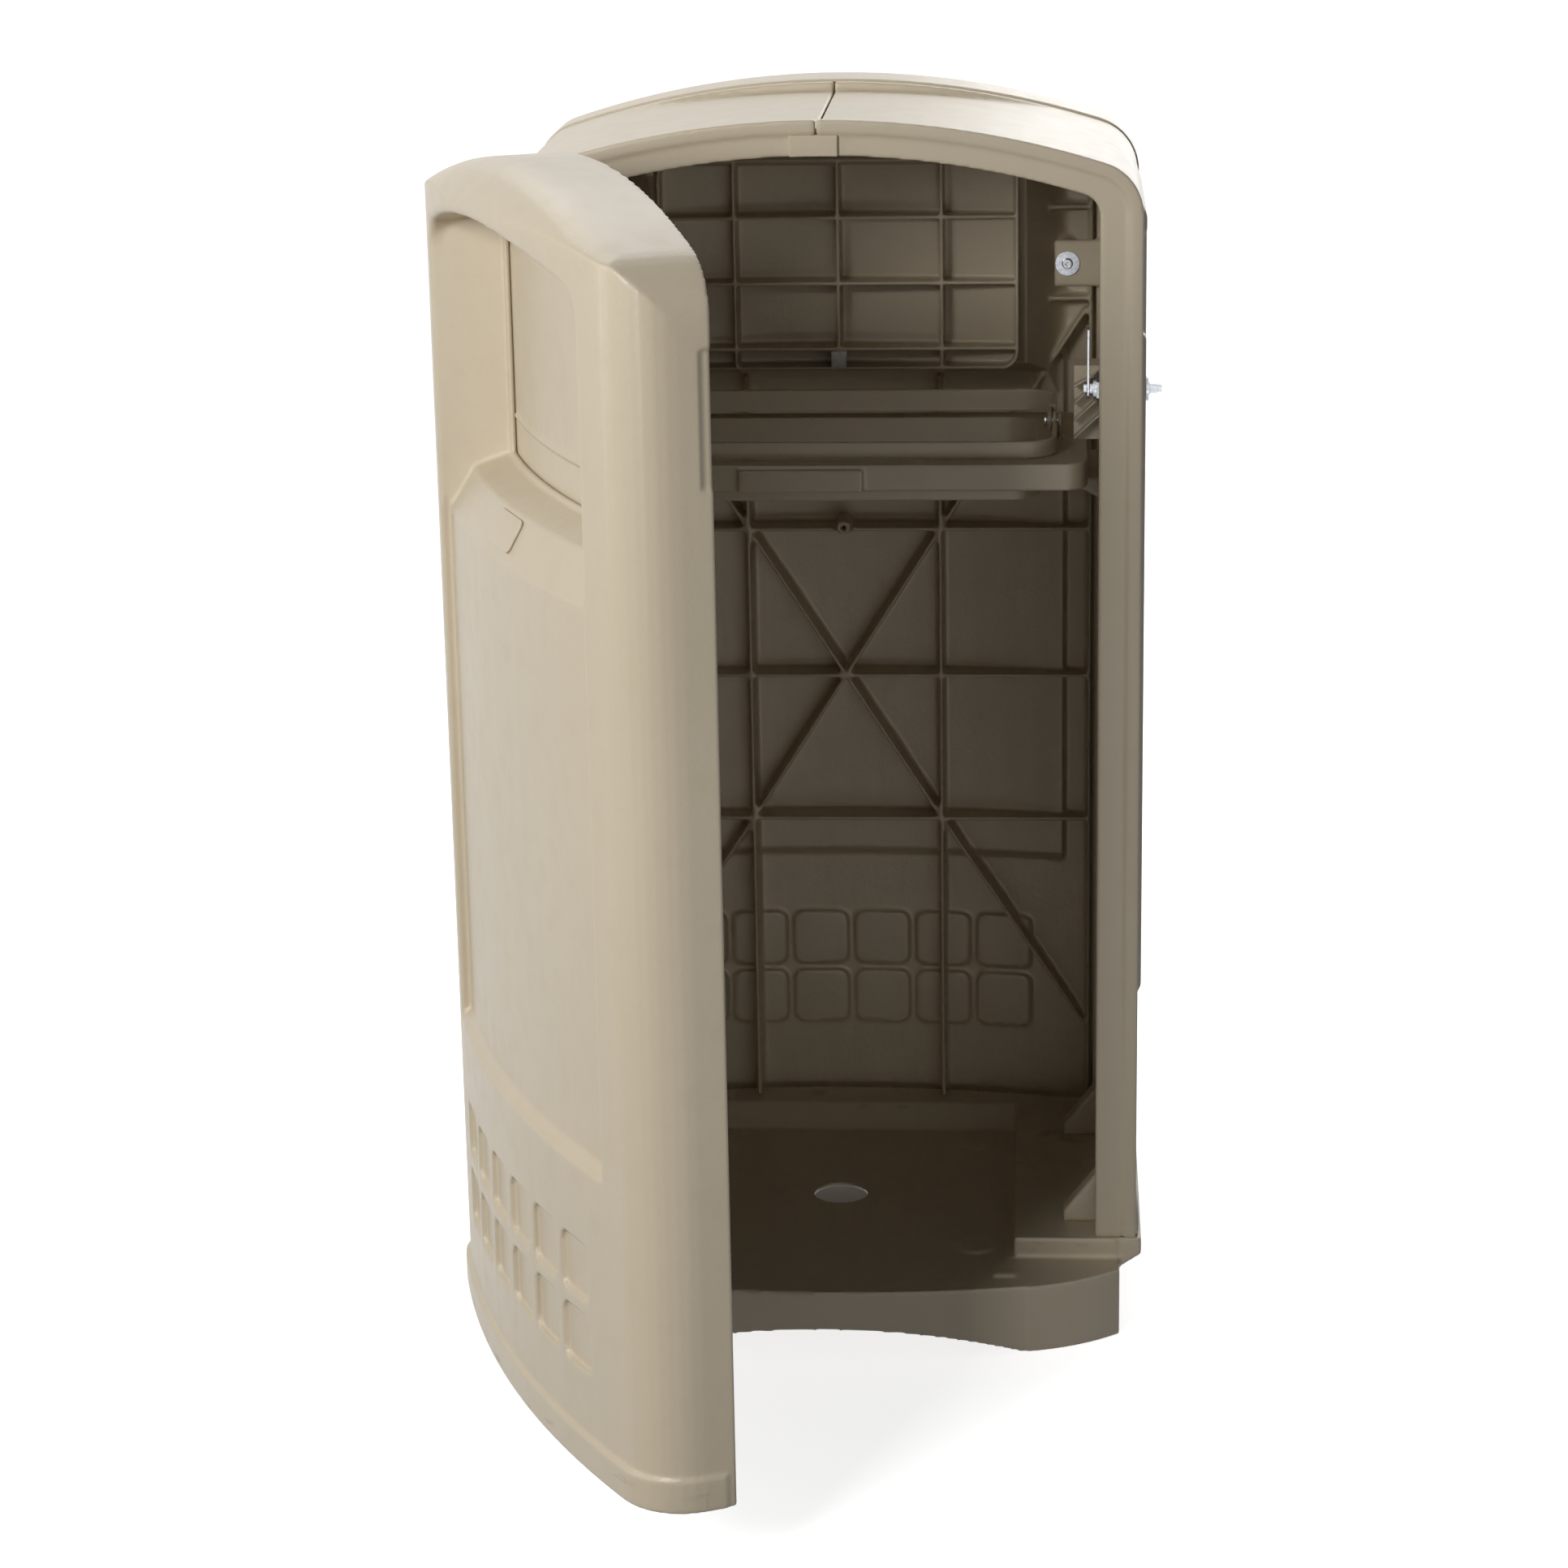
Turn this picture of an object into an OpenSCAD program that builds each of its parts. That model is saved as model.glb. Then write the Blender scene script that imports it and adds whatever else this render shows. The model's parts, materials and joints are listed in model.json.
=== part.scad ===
// Outdoor litter container with a hinged front door, standing open.
// X runs to the right, Y to the back and Z up.
// The origin is the centre of the drain hole at the pan's floor.

/* [Overall] */
// Width of the body across its side panels
body_w = 540; // [450:5:650]
// Depth of the body between its front and rear frames
body_d = 294; // [245:1:353]
// Height of the roof's crown above the ground
body_h = 1070; // [890:5:1285]
// Radius of the arched roof in the front view
roof_r = 775; // [640:5:1000]
// Radius where the roof turns down into the sides
roof_corner_r = 45; // [30:1:60]
// Wall thickness of the mouldings
wall = 4; // [3:0.1:5]

/* [Door and rear panel] */
// How far the two bulged panels stand out from their back edge
panel_bulge = 100; // [90:1:120]
// Plan radius of the bulged panels
panel_r = 1087; // [950:1:1300]
// Plan radius of the panels' upright corners
panel_corner_r = 50; // [40:1:60]
// Radius of the panels' top front edge
panel_crest_r = 46; // [35:1:50]
// How far a panel is larger than the body all round
panel_margin = 2; // [1:0.5:5]
// Gap between the closed door and the front frame
door_gap = 3; // [3:0.1:4]
// Angle at which the door stands open
door_angle = 66.5; // [0:0.5:110]
// Height of the panels' bottom edge above the ground
panel_bottom = 66; // [64:0.5:75]
// Height of the bumper along the panels' bottom edge
bumper_h = 28; // [20:1:40]
// How far the bumper stands out
bumper_t = 4; // [2:0.5:6]
// Width of the plain pillar at each side of a panel
pillar_w = 70; // [60:1:85]
// Depth of the large recess in a panel
recess_depth = 9; // [5:0.5:12]
// Height of the recess's lower edge above the ground
recess_bottom = 320; // [290:1:350]

/* [Disposal opening] */
// Distance from the roof's crown down to the pocket's top lip
pocket_drop = 40; // [38:1:55]
// Depth of the pocket behind the panel's face
pocket_depth = 58; // [50:1:62]
// Distance from the roof's crown down to the flap's lower edge
sill_drop = 256; // [230:1:290]
// Height of the sloping chin below the sill
chin_h = 47; // [35:1:60]
// How far each side of the pocket draws in towards its back
pocket_draft = 36; // [25:1:45]
// Width of the rim that the flap closes against
flap_rim = 6; // [4:0.5:8]
// Thickness of the flap's skin and ribs
flap_t = 3; // [2.5:0.1:4]
// Radius of the flap's pivot rod
rod_r = 4; // [3:0.1:5]

/* [Dimples] */
// Side of one square dimple
dimple_w = 49; // [40:1:54]
// Centre distance of the dimples
dimple_pitch = 60; // [58:1:66]
// Depth of a dimple
dimple_depth = 5; // [3:0.5:6]
// Radius of a dimple's corners
dimple_r = 9; // [6:0.5:12]
// Height of the upper row's centre above the ground
dimple_z = 232; // [225:1:240]

/* [Frames] */
// Width of the front and rear frames
frame_w = 36; // [30:1:45]
// Height of the arched part of a frame at the crown
frame_arch_h = 30; // [28:1:40]
// Corner radius of the frame's opening
frame_corner_r = 18; // [10:1:25]
// Depth of the frame's inner return
frame_return = 22; // [15:1:28]
// Width of the lip outside the frame's groove
lip_w = 11; // [9:0.5:14]
// How far the lip stands proud of the frame's face
lip_step = 2; // [1:0.25:3]

/* [Base] */
// Height of the pan's floor above the ground
pan_h = 62; // [50:1:63]
// Height of the side ledges above the pan's floor
ledge_h = 19; // [12:1:25]
// Half width of the pan between its side ledges
pan_half = 162; // [140:1:180]
// How far the base stands out in front of the frame at its centre
lip_bulge = 83; // [70:1:90]
// Plan radius of the base's front and rear lips
lip_r = 876; // [800:1:1000]
// How far the base's skirt is set in from the flange on each side
skirt_inset = 18; // [12:1:25]
// Radius of the drain hole
drain_r = 24; // [15:0.5:35]
// Rise of the arch between the front feet
arch_rise = 26; // [15:1:35]

/* [Bag frame] */
// Distance from the roof's crown down to the top of the bag frame
frame_drop = 295; // [290:1:310]
// Thickness of the bag frame
bag_frame_t = 23; // [18:1:28]
// Gap between the bag frame and the side frames
bag_frame_gap = 9; // [6:1:14]
// Width of the bag frame's sides
bag_frame_side = 46; // [40:1:52]
// Height of the front bag ring
ring_h = 15; // [12:1:18]
// Thickness of the ring's band
ring_t = 4; // [3:0.5:5]
// Radius of the ring's pivot pins
ring_pin_r = 3; // [2:0.5:4]

/* [Lock] */
// Distance from the roof's crown down to the lock's axis
lock_drop = 232; // [225:1:245]
// Distance of the lock's axis behind the front frame
lock_back = 42; // [38:1:48]
// Radius of the lock's threaded body
lock_r = 9.5; // [8:0.5:11]
// Length of the lock's hooked cam from its axis
cam_len = 52; // [48:1:56]

/* [Hinge] */
// Radius of the hinge pins
pin_r = 4; // [3:0.1:4.5]
// Radius of the hinge knuckles
knuckle_r = 6; // [6:0.1:6.5]
// Height of one hinge knuckle
knuckle_h = 20; // [14:1:28]
// Height of the lower hinge's centre above the ground
hinge_low_z = 170; // [150:1:200]
// Distance from the roof's crown down to the upper hinge's centre
hinge_drop = 115; // [110:1:140]

/* [Hidden] */
$fn = 64;
eps = 0.05;
run_clear = 0.05;
free_gap = 0.6;
beige = "#cfc5b0";
zinc = "#b9bcc0";

// Body
half_w = body_w / 2;
half_d = body_d / 2;
frame_half = half_w - frame_w;
wide_y = 900;
ledge_front = half_d + door_gap - 1;
ledge_z = pan_h + ledge_h;
tray_r = 1111;
shoulder_r = 170;
shoulder_a = 11.5;

// Bulged panels, measured outwards from their back edge as depth
panel_half = half_w + panel_margin;
panel_crown = body_h + panel_margin;
panel_top_r = roof_r + panel_margin;
pocket_half = panel_half - pillar_w;
pocket_back_half = pocket_half - pocket_draft;
pocket_top = body_h - pocket_drop;
pocket_arch_r = roof_r - 45;
sill_z = body_h - sill_drop;
chin_z = sill_z - chin_h;
chin_drop = 12;
chin_run = 29;
window_half = pocket_back_half - flap_rim;
window_low = sill_z + flap_rim / 2;
door_y = -(half_d + door_gap);
bottom_r = panel_r - panel_bulge;

// Flap behind the window, hung on a rod; depths are from the panel's back edge
flap_half = window_half + 4;
flap_low = sill_z - 7;
flap_plane = 8;
flap_r = panel_r - pocket_depth - wall - free_gap;
flap_skin = flap_r - bottom_r;
rod_depth = 17;
flap_rib_x = 94;
ear_w = 8;
ear_gap = 1;
barrel_r = rod_r + 3;

// The flap's barrel hangs just under the pocket's arched roof at the flap's ends
flap_end_rise = sqrt(pow(pocket_arch_r, 2) - pow(flap_half, 2)) - pocket_arch_r;
rod_z = pocket_top + flap_end_rise - wall - barrel_r - free_gap;
window_high = rod_z - 2;

// Ribs inside a bulged panel
rib_t = 3.5;
rib_x = 90;
rib_plane = 53;
rib_back = 0.6;
rib_mid = (recess_bottom + sill_z) / 2 - 61;
rib_step = 141.5;
rib_end_x = frame_half - 8;
rib_end_dz = 207;
rib_boss_z = rib_mid + rib_step + 4;

// Fasteners of the rear panel
fix_x = frame_half - 26;
fix_z = body_h - 161;
fix_y = half_d - 27;
bracket_h = 42;
screw_r = 2.5;
washer_r = 11;
washer_t = 1.5;

// Bag frame and rings
bag_z = body_h - frame_drop;
bag_half = frame_half - bag_frame_gap;
bag_front = half_d - 29;
bag_open_half = bag_half - bag_frame_side;
bag_open_y = bag_front - 24;
ring_half = bag_half - 26;
ring_y = bag_front - 18;
ring_z = bag_z + 1;
ring_pivot_z = ring_z + 14;
ring_eye_r = ring_pin_r + 5;
ear_x = ring_half + free_gap;

// Lock, turning about an axis along X
lock_z = body_h - lock_drop;
lock_y = -half_d + lock_back;
raised = 3.5;
raised_low = 304;
raised_high = body_h - 85;
raised_y = half_d - 27;
face_x = half_w + raised;
cam_x = frame_half - 9;
cam_t = 2;
cam_w = 15;
hook_d = 8;
strike_y = lock_y - cam_len + hook_d + 4;
strike_z = lock_z - cam_w / 2 - 3;
strike_pin_r = 2.5;
strike_gap = 6;

// Door hinge
hinge_x = -(panel_half - knuckle_r);
hinge_y = door_y - knuckle_r - 0.5;
hinge_high_z = body_h - hinge_drop;
knuckle_gap = 0.5;
pin_room = 6;

// Points along a circular arc, from angle a0 to angle a1
function arc(c, r, a0, a1, n) =
    [for (i = [0:n]) let (a = a0 + (a1 - a0) * i / n) c + r * [cos(a), sin(a)]];

// Outline with upright sides, an arched top of radius r and two tangent corners
function arch_pts(half, crown, r, corner, low) =
    let (cz = crown - r, cx = half - corner, cc = cz + sqrt(pow(r - corner, 2) - cx * cx),
        a = atan2(cc - cz, cx))
    concat([[-half, low], [half, low]], arc([cx, cc], corner, 0, a, 8), arc([0, cz], r, a, 180 - a, 40),
        arc([-cx, cc], corner, 180 - a, 180, 8));

// Rectangle with rounded corners of n steps each, centred on the origin
function round_rect(hx, hy, r, n = 8) =
    concat(arc([hx - r, hy - r], r, 0, 90, n), arc([r - hx, hy - r], r, 90, 180, n),
        arc([r - hx, r - hy], r, 180, 270, n), arc([hx - r, r - hy], r, 270, 360, n));

// The same plan outline, facing the front
function to_front(points) = [for (p = points) [p[0], -p[1]]];

// Outline of half of the base from the centre line to the right side, towards the front
function base_pts(o) =
    let (r = lip_r - o, hx = half_w + 2 - skirt_inset - o, cr = shoulder_r - o, a = shoulder_a,
        apex = half_d + lip_bulge - o, cx = (r - cr) * sin(a), cy = apex - r + (r - cr) * cos(a),
        b = asin((hx - cx) / cr))
    concat(arc([cx, cy], cr, 90 - b, 90 - a, 8), arc([0, apex - r], r, 90 - a, 90 + a, 24),
        arc([-cx, cy], cr, 90 + a, 90 + b, 8));

// Everything is modelled above the ground and then placed on the drain hole
module grounded() translate([0, 0, -pan_h]) children();

// Draws an X-Z outline as a slab between two Y values
module slab(points, y0, y1)
    translate([0, y1, 0]) rotate([90, 0, 0]) linear_extrude(y1 - y0) polygon(points);

// Puts a panel, drawn with its depth along -Y from its back edge, in its place
module at_front() translate([0, door_y, 0]) children();
module at_rear() translate([0, half_d, 0]) mirror([0, 1, 0]) children();

// Turns the closed door and what it carries to the open position
module opened()
    translate([hinge_x, hinge_y, 0]) rotate([0, 0, -door_angle])
        translate([-hinge_x, -hinge_y, 0]) children();

// Cylinder of radius r lying along X or along Y, from one coordinate to the other
module along_x(x0, x1, r, y, z) translate([x0, y, z]) rotate([0, 90, 0]) cylinder(r = r, h = x1 - x0);
module along_y(y0, y1, r, x, z) translate([x, y0, z]) rotate([-90, 0, 0]) cylinder(r = r, h = y1 - y0);

// Revolves a profile of depth and height about the panels' plan centre
module swept(profile)
    translate([0, bottom_r, 0]) rotate_extrude($fn = 180)
        polygon([for (p = profile) [bottom_r + p[0], p[1]]]);

module panel_mass(o) {
    plan = to_front(arch_pts(panel_half - o, panel_bulge - o, panel_r - o, panel_corner_r - o, -o));
    top_r = panel_top_r - o;
    crest = panel_crest_r - o;
    depth = panel_bulge - o;
    profile = concat([[0, -o], [0, depth]], arc([top_r - crest, depth - crest], crest, 90, 0, 8),
        [[top_r, -o]]);
    intersection() {
        translate([0, 0, panel_bottom + o]) linear_extrude(panel_crown - panel_bottom) polygon(plan);
        slab(arch_pts(panel_half - o, panel_crown - o, top_r, panel_corner_r - o, panel_bottom + o),
            -wide_y, wide_y);
        translate([0, 0, panel_crown - panel_top_r]) rotate([90, 0, 0])
            rotate_extrude($fn = 180) polygon(profile);
    }
}

module recess_cut(o) {
    face = panel_bulge - recess_depth - o;
    profile = [[face, recess_bottom - o + recess_depth], [panel_bulge + 9, recess_bottom - o - 9],
        [panel_bulge + 9, sill_z], [face, sill_z]];
    intersection() {
        swept(profile);
        translate([-pocket_half - o, -wide_y, 0]) cube([2 * (pocket_half + o), wide_y, body_h]);
    }
}

module pocket_cut(o) {
    back = panel_bulge - pocket_depth - o;
    nose = panel_bulge - pocket_depth + chin_run;
    profile = [[back, sill_z - o], [nose, sill_z - chin_drop - o],
        [panel_bulge - recess_depth, chin_z - o], [panel_bulge + 60, chin_z - o],
        [panel_bulge + 60, body_h], [back, body_h]];
    front_y = panel_bulge + 2;
    back_y = panel_bulge - pocket_depth - 20;
    intersection() {
        swept(profile);
        slab(arch_pts(pocket_half + o, pocket_top + o, pocket_arch_r, 25 + o, chin_z - 20), -wide_y, 0);
        linear_extrude(body_h) polygon([[-pocket_half - o, -wide_y], [-pocket_half - o, -front_y + 25],
            [-pocket_back_half - o, -back_y], [pocket_back_half + o, -back_y],
            [pocket_half + o, -front_y + 25], [pocket_half + o, -wide_y]]);
    }
}

// Rounded square pockets along the panel's curve. Their walls are half as thick as the panel's
module dimple_cuts(o) {
    step = dimple_pitch / panel_r * 180 / PI;
    side = dimple_w / 2 + o / 2;
    for (row = [0, 1], col = [-2.5:1:2.5])
        translate([0, bottom_r, dimple_z - row * dimple_pitch]) rotate([0, 0, col * step])
            slab(round_rect(side, side, dimple_r, 3), -panel_r - 5, -panel_r + dimple_depth + o);
}

module panel_cuts(o) {
    recess_cut(o);
    pocket_cut(o);
    dimple_cuts(o);
}

module window_cut() {
    slab(arch_pts(window_half, window_high, 4000, 4, window_low), -(flap_skin + wall + 2), 1);
}

// One straight rib between two points of the X-Z plane. Ribs that cross are set back by different steps
module rib(p, q, back) {
    d = q - p;
    translate([p[0], 0, p[1]]) rotate([0, -atan2(d[1], d[0]), 0])
        translate([0, -panel_bulge, -rib_t / 2])
            cube([norm(d), panel_bulge - rib_plane - back * rib_back, rib_t]);
}

module rib_grid() {
    low = panel_bottom + wall;
    side = rib_end_x + 4;
    for (s = [-1, 1]) {
        rib([s * rib_x, low], [s * rib_x, sill_z - 20], 0);
        rib([s * rib_x, rib_mid + rib_step], [s * rib_end_x, rib_mid + rib_end_dz + rib_step], 4);
        rib([s * rib_x, rib_mid - rib_step], [s * rib_end_x, rib_mid - rib_end_dz - rib_step], 4);
        rib([-s * rib_x, rib_mid - rib_step], [s * rib_x, rib_mid + rib_step], s > 0 ? 2 : 3);
        rib([s * side, low], [s * side, rod_z], 0);
        for (z = [sill_z + 50, sill_z + 134])
            rib([s * (pocket_back_half + 5), z], [s * side, z], 1);
    }
    for (k = [-1:1])
        rib([-side, rib_mid + k * rib_step], [side, rib_mid + k * rib_step], 1);
}

// Ears that carry the flap's rod
module flap_ears() {
    ear_d = panel_bulge - pocket_depth - 14;
    difference() {
        for (s = [-1, 1])
            translate([s * (flap_half + ear_gap + ear_w / 2) - ear_w / 2, -ear_d, rod_z - 14])
                cube([ear_w, ear_d, 28]);
        along_x(-flap_half - 20, flap_half + 20, rod_r, -rod_depth, rod_z);
    }
}

// Bulged shell with pocket, recess, dimples and inner ribs, shared by the door and the rear panel
module bulged_panel() {
    difference() {
        panel_mass(0);
        panel_cuts(0);
        difference() {
            panel_mass(wall);
            panel_cuts(wall);
        }
        window_cut();
    }
    intersection() {
        difference() {
            panel_mass(wall / 2);
            panel_cuts(wall / 2);
        }
        rib_grid();
    }
    bumper();
    flap_ears();
}

module bumper() {
    side_t = bumper_t / 2;
    set_in = wall / 2;
    outer = to_front(arch_pts(panel_half + side_t, panel_bulge + bumper_t, panel_r + bumper_t,
        panel_corner_r + bumper_t, 8));
    inner = to_front(arch_pts(panel_half - set_in, panel_bulge - set_in, panel_r - set_in,
        panel_corner_r - set_in, -1));
    difference() {
        translate([0, 0, panel_bottom]) linear_extrude(bumper_h) polygon(outer);
        translate([0, 0, panel_bottom - 1]) linear_extrude(bumper_h + 2) polygon(inner);
    }
}

// Outline of the flap in the X-Z plane, smaller all round by o
function flap_outline(o) = [for (p = round_rect(flap_half - o, (rod_z - flap_low) / 2 - o, 16 - o))
    [p[0], p[1] + (rod_z + flap_low) / 2]];

// Grid flap, hanging from its rod
module flap_body() {
    outline = flap_outline(0);
    skin = [[flap_skin - flap_t, flap_low - 1], [flap_skin, flap_low - 1], [flap_skin, rod_z],
        [flap_skin - flap_t, rod_z]];
    inside = [[0, flap_low - 1], [flap_skin - flap_t / 2, flap_low - 1],
        [flap_skin - flap_t / 2, rod_z], [0, rod_z]];
    ribs_x = [-flap_half + flap_t / 2, -flap_rib_x, 0, flap_rib_x, flap_half - flap_t / 2];
    difference() {
        union() {
            intersection() {
                slab(outline, -flap_skin - 5, 0);
                swept(skin);
            }
            intersection() {
                slab(outline, -flap_skin + flap_t / 2, -flap_plane);
                swept(inside);
                union() {
                    for (x = ribs_x)
                        translate([x - flap_t / 2, -panel_bulge, flap_low])
                            cube([flap_t, panel_bulge, rod_z - flap_low]);
                    for (k = [0:2])
                        translate([-flap_half, -panel_bulge, flap_low + 18 + 60 * k])
                            cube([2 * flap_half, panel_bulge, flap_t]);
                    difference() {
                        slab(outline, -panel_bulge, 0);
                        slab(flap_outline(flap_t), -panel_bulge - 1, 1);
                    }
                }
            }
            along_x(-flap_half, flap_half, barrel_r, -rod_depth, rod_z);
            bead();
        }
        along_x(-flap_half - 1, flap_half + 1, rod_r + run_clear, -rod_depth, rod_z);
    }
}

// Raised bead across the flap's outer face
module bead() {
    z = flap_low + 38;
    intersection() {
        swept([[flap_skin - 1, z], [flap_skin + 2, z + 2], [flap_skin + 2, z + 4],
            [flap_skin - 1, z + 6]]);
        translate([-window_half + 4, -wide_y, 0]) cube([2 * window_half - 8, wide_y, body_h]);
    }
}

module flap_rod() {
    half = flap_half + ear_gap + ear_w;
    along_x(-half, half, rod_r, -rod_depth, rod_z);
}

// Small clear bumper on the flap's inner face
module flap_tab() translate([-7, -flap_plane, flap_low + 3]) cube([14, 3, 15]);

// Body shell: arched in the front view, with a shallow tray in the roof
module body_mass(o) {
    difference() {
        slab(arch_pts(half_w - o, body_h - o, roof_r - o, roof_corner_r - o, ledge_z - o),
            -half_d + o, half_d - o);
        intersection() {
            translate([-half_w, -half_d + 9 - o, 0]) cube([body_w, body_d - 18 + 2 * o, body_h + 1]);
            difference() {
                translate([-half_w, -half_d, body_h - 60]) cube([body_w, body_d, 61]);
                translate([0, wide_y, body_h - 8 - tray_r]) rotate([90, 0, 0])
                    cylinder(r = tray_r - o, h = 2 * wide_y, $fn = 180);
            }
        }
    }
}

// The frame's opening, larger all round by o
module frame_opening(o, y0, y1)
    slab(arch_pts(frame_half + o, body_h - frame_arch_h + o, roof_r - frame_arch_h + o,
        frame_corner_r + o, 0), y0, y1);

// Ring outline that is set in from the body's outline by a, and ends at b
module frame_band(a, b, y0, y1) {
    difference() {
        slab(arch_pts(half_w - a, body_h - a, roof_r - a, roof_corner_r - a, 0), y0, y1);
        slab(arch_pts(half_w - b, body_h - b, roof_r - b, roof_corner_r - b, -1), y0 - 1, y1 + 1);
    }
}

module frame_face_cuts() {
    slab(arch_pts(half_w - lip_w, body_h - lip_w, roof_r - lip_w, roof_corner_r - lip_w, 0),
        -half_d - 1, -half_d + lip_step);
    frame_band(lip_w, lip_w + 2, -half_d - 1, -half_d + lip_step + 1);
}

// Both halves of the side-and-roof moulding together
module body_shell() {
    difference() {
        body_mass(0);
        body_mass(wall);
        translate([0, 0, -wall]) linear_extrude(ledge_z + 2 * wall - 0.01)
            square([2 * (half_w - wall), 2 * (half_d - wall)], center = true);
        frame_opening(0, -wide_y, wide_y);
        for (m = [0, 1])
            mirror([0, m, 0]) frame_face_cuts();
    }
    for (m = [0, 1])
        mirror([0, m, 0]) difference() {
            frame_opening(wall, -half_d + lip_step, -half_d + frame_return);
            frame_opening(0, -wide_y, 0);
            translate([-wide_y, -wide_y, 0]) cube([2 * wide_y, 2 * wide_y, ledge_z]);
        }
}

module gusset(y) {
    inner = frame_half - 28;
    outer = half_w - wall + 1;
    slab([[inner, ledge_z], [inner, ledge_z + 10], [outer, ledge_z + 87], [outer, ledge_z]], y, y + 20);
}

// U-shaped bracket that the rear panel is screwed to
module rear_bracket() {
    inner = fix_x - 12;
    outer = half_w - wall + 1;
    difference() {
        translate([inner, fix_y, fix_z - bracket_h / 2])
            cube([outer - inner, half_d - wall + 1 - fix_y, bracket_h]);
        translate([inner - 1, fix_y + wall, fix_z - bracket_h / 2 + wall])
            cube([outer - inner - wall, body_d, bracket_h - 2 * wall]);
        translate([inner - 1, half_d - frame_return, fix_z - bracket_h])
            cube([frame_half + wall - inner + 1, body_d, 2 * bracket_h]);
        along_y(fix_y - 1, fix_y + 29, screw_r + 0.3, fix_x, fix_z);
    }
}

// Shelf that the bag frame rests on
module bag_shelf() {
    low = bag_z - bag_frame_t - 16;
    inner = bag_half - 18;
    outer = half_w - wall + 1;
    slab([[inner, low + 12], [inner, low + 16], [outer, low + 16], [outer, low - 20]], -60, 60);
}

// The right-hand side panel and roof half; the left one is its mirror image
module side_half() {
    difference() {
        union() {
            intersection() {
                body_shell();
                translate([0.25, -wide_y, 0]) cube([wide_y, 2 * wide_y, 2 * body_h]);
            }
            difference() {
                slab([[half_w - 1, raised_low - raised], [face_x, raised_low + 4], [face_x, raised_high],
                    [half_w - 1, raised_high + 12]], -raised_y, raised_y);
                translate([half_w + 0.5, -raised_y - 1, body_h - 186]) cube([raised + 1, 13, 87]);
            }
            slab([[half_w - 1, ledge_z], [half_w + 3, ledge_z], [half_w + 3, ledge_z + 14],
                [half_w - 1, ledge_z + 72]], -half_d + 8, half_d - 8);
            for (y = [-half_d + 37, half_d - 45])
                gusset(y);
            rear_bracket();
            bag_shelf();
            lock_axis(cam_x + 12.5, half_w - 1, lock_r + 5);
        }
        children();
    }
}

module lock_axis(x0, x1, r) along_x(x0, x1, r, lock_y, lock_z);

// Knuckles on the left front frame that carry the door's hinge pins
module body_knuckles(zc) {
    for (s = [-1, 1])
        translate([hinge_x, hinge_y, zc + s * (knuckle_h + knuckle_gap) - knuckle_h / 2])
            difference() {
                union() {
                    cylinder(r = knuckle_r, h = knuckle_h);
                    translate([-knuckle_r, 0, 0])
                        cube([2 * knuckle_r, -half_d - hinge_y + wall, knuckle_h]);
                }
                translate([0, 0, -1]) cylinder(r = pin_r + run_clear, h = knuckle_h + 2);
            }
}

module side_panel_right() color(beige) grounded() side_half() lock_axis(cam_x, face_x + 5, lock_r + 0.2);

module side_panel_left() color(beige) grounded() {
    mirror([1, 0, 0]) side_half();
    for (z = [hinge_low_z, hinge_high_z])
        body_knuckles(z);
}

module roof_clip() {
    low = body_h - frame_arch_h + 1;
    high = body_h - lip_w - 1.5;
    y0 = -half_d - 1.5;
    difference() {
        translate([-22, y0, low - 3]) cube([40, -half_d + lip_step - y0, high - low + 3]);
        slab(arch_pts(frame_half, low - 1, roof_r - frame_arch_h, frame_corner_r, 0), y0 - 1, 0);
    }
}

module roof_clip_front() color(beige) grounded() roof_clip();

module roof_clip_rear() color(beige) grounded() mirror([0, 1, 0]) roof_clip();

module base() color(beige) grounded() {
    outline = to_front(base_pts(0));
    inner = to_front(base_pts(wall));
    arch_half = 170;
    arch_cr = (arch_half * arch_half + arch_rise * arch_rise) / (2 * arch_rise);
    difference() {
        union() {
            difference() {
                linear_extrude(pan_h) polygon(concat(outline, [for (p = outline) [-p[0], -p[1]]]));
                translate([0, 0, -1]) linear_extrude(pan_h - wall + 1)
                    polygon(concat(inner, [for (p = inner) [-p[0], -p[1]]]));
                translate([0, wide_y, arch_rise - arch_cr]) rotate([90, 0, 0])
                    cylinder(r = arch_cr, h = 2 * wide_y, $fn = 180);
            }
            for (sx = [-1, 1], sy = [-1, 1])
                foot(sx, sy);
            side_ledges(half_w + 5);
        }
        translate([0, 0, pan_h - 2 * wall]) cylinder(r = drain_r, h = 4 * wall);
    }
    for (sx = [-1, 1], sy = [-1, 1])
        translate([sx * 127.5, sy * 125.5, pan_h - 1]) cylinder(r1 = 18, r2 = 16, h = 3.5);
    for (s = [-1, 1])
        translate([s * 154 - 10, -half_d - 46, pan_h - 1]) cube([20, 11, 4]);
}

// Thickened corner of the base, standing on the ground
module foot(sx, sy) {
    pts = to_front(base_pts(-1.5));
    core = to_front(base_pts(wall + 2));
    mirror([sx < 0 ? 1 : 0, 0, 0]) mirror([0, sy > 0 ? 1 : 0, 0]) intersection() {
        difference() {
            linear_extrude(pan_h)
                polygon(concat(pts, [[-half_w, 0], [half_w - skirt_inset + 3.5, 0]]));
            translate([0, 0, -1]) linear_extrude(pan_h - wall + 1)
                polygon(concat(core, [[-half_w, 0], [half_w - skirt_inset - 6, 0]]));
        }
        translate([175, -wide_y, 0]) cube([wide_y, wide_y - 90, pan_h]);
    }
}

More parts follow.
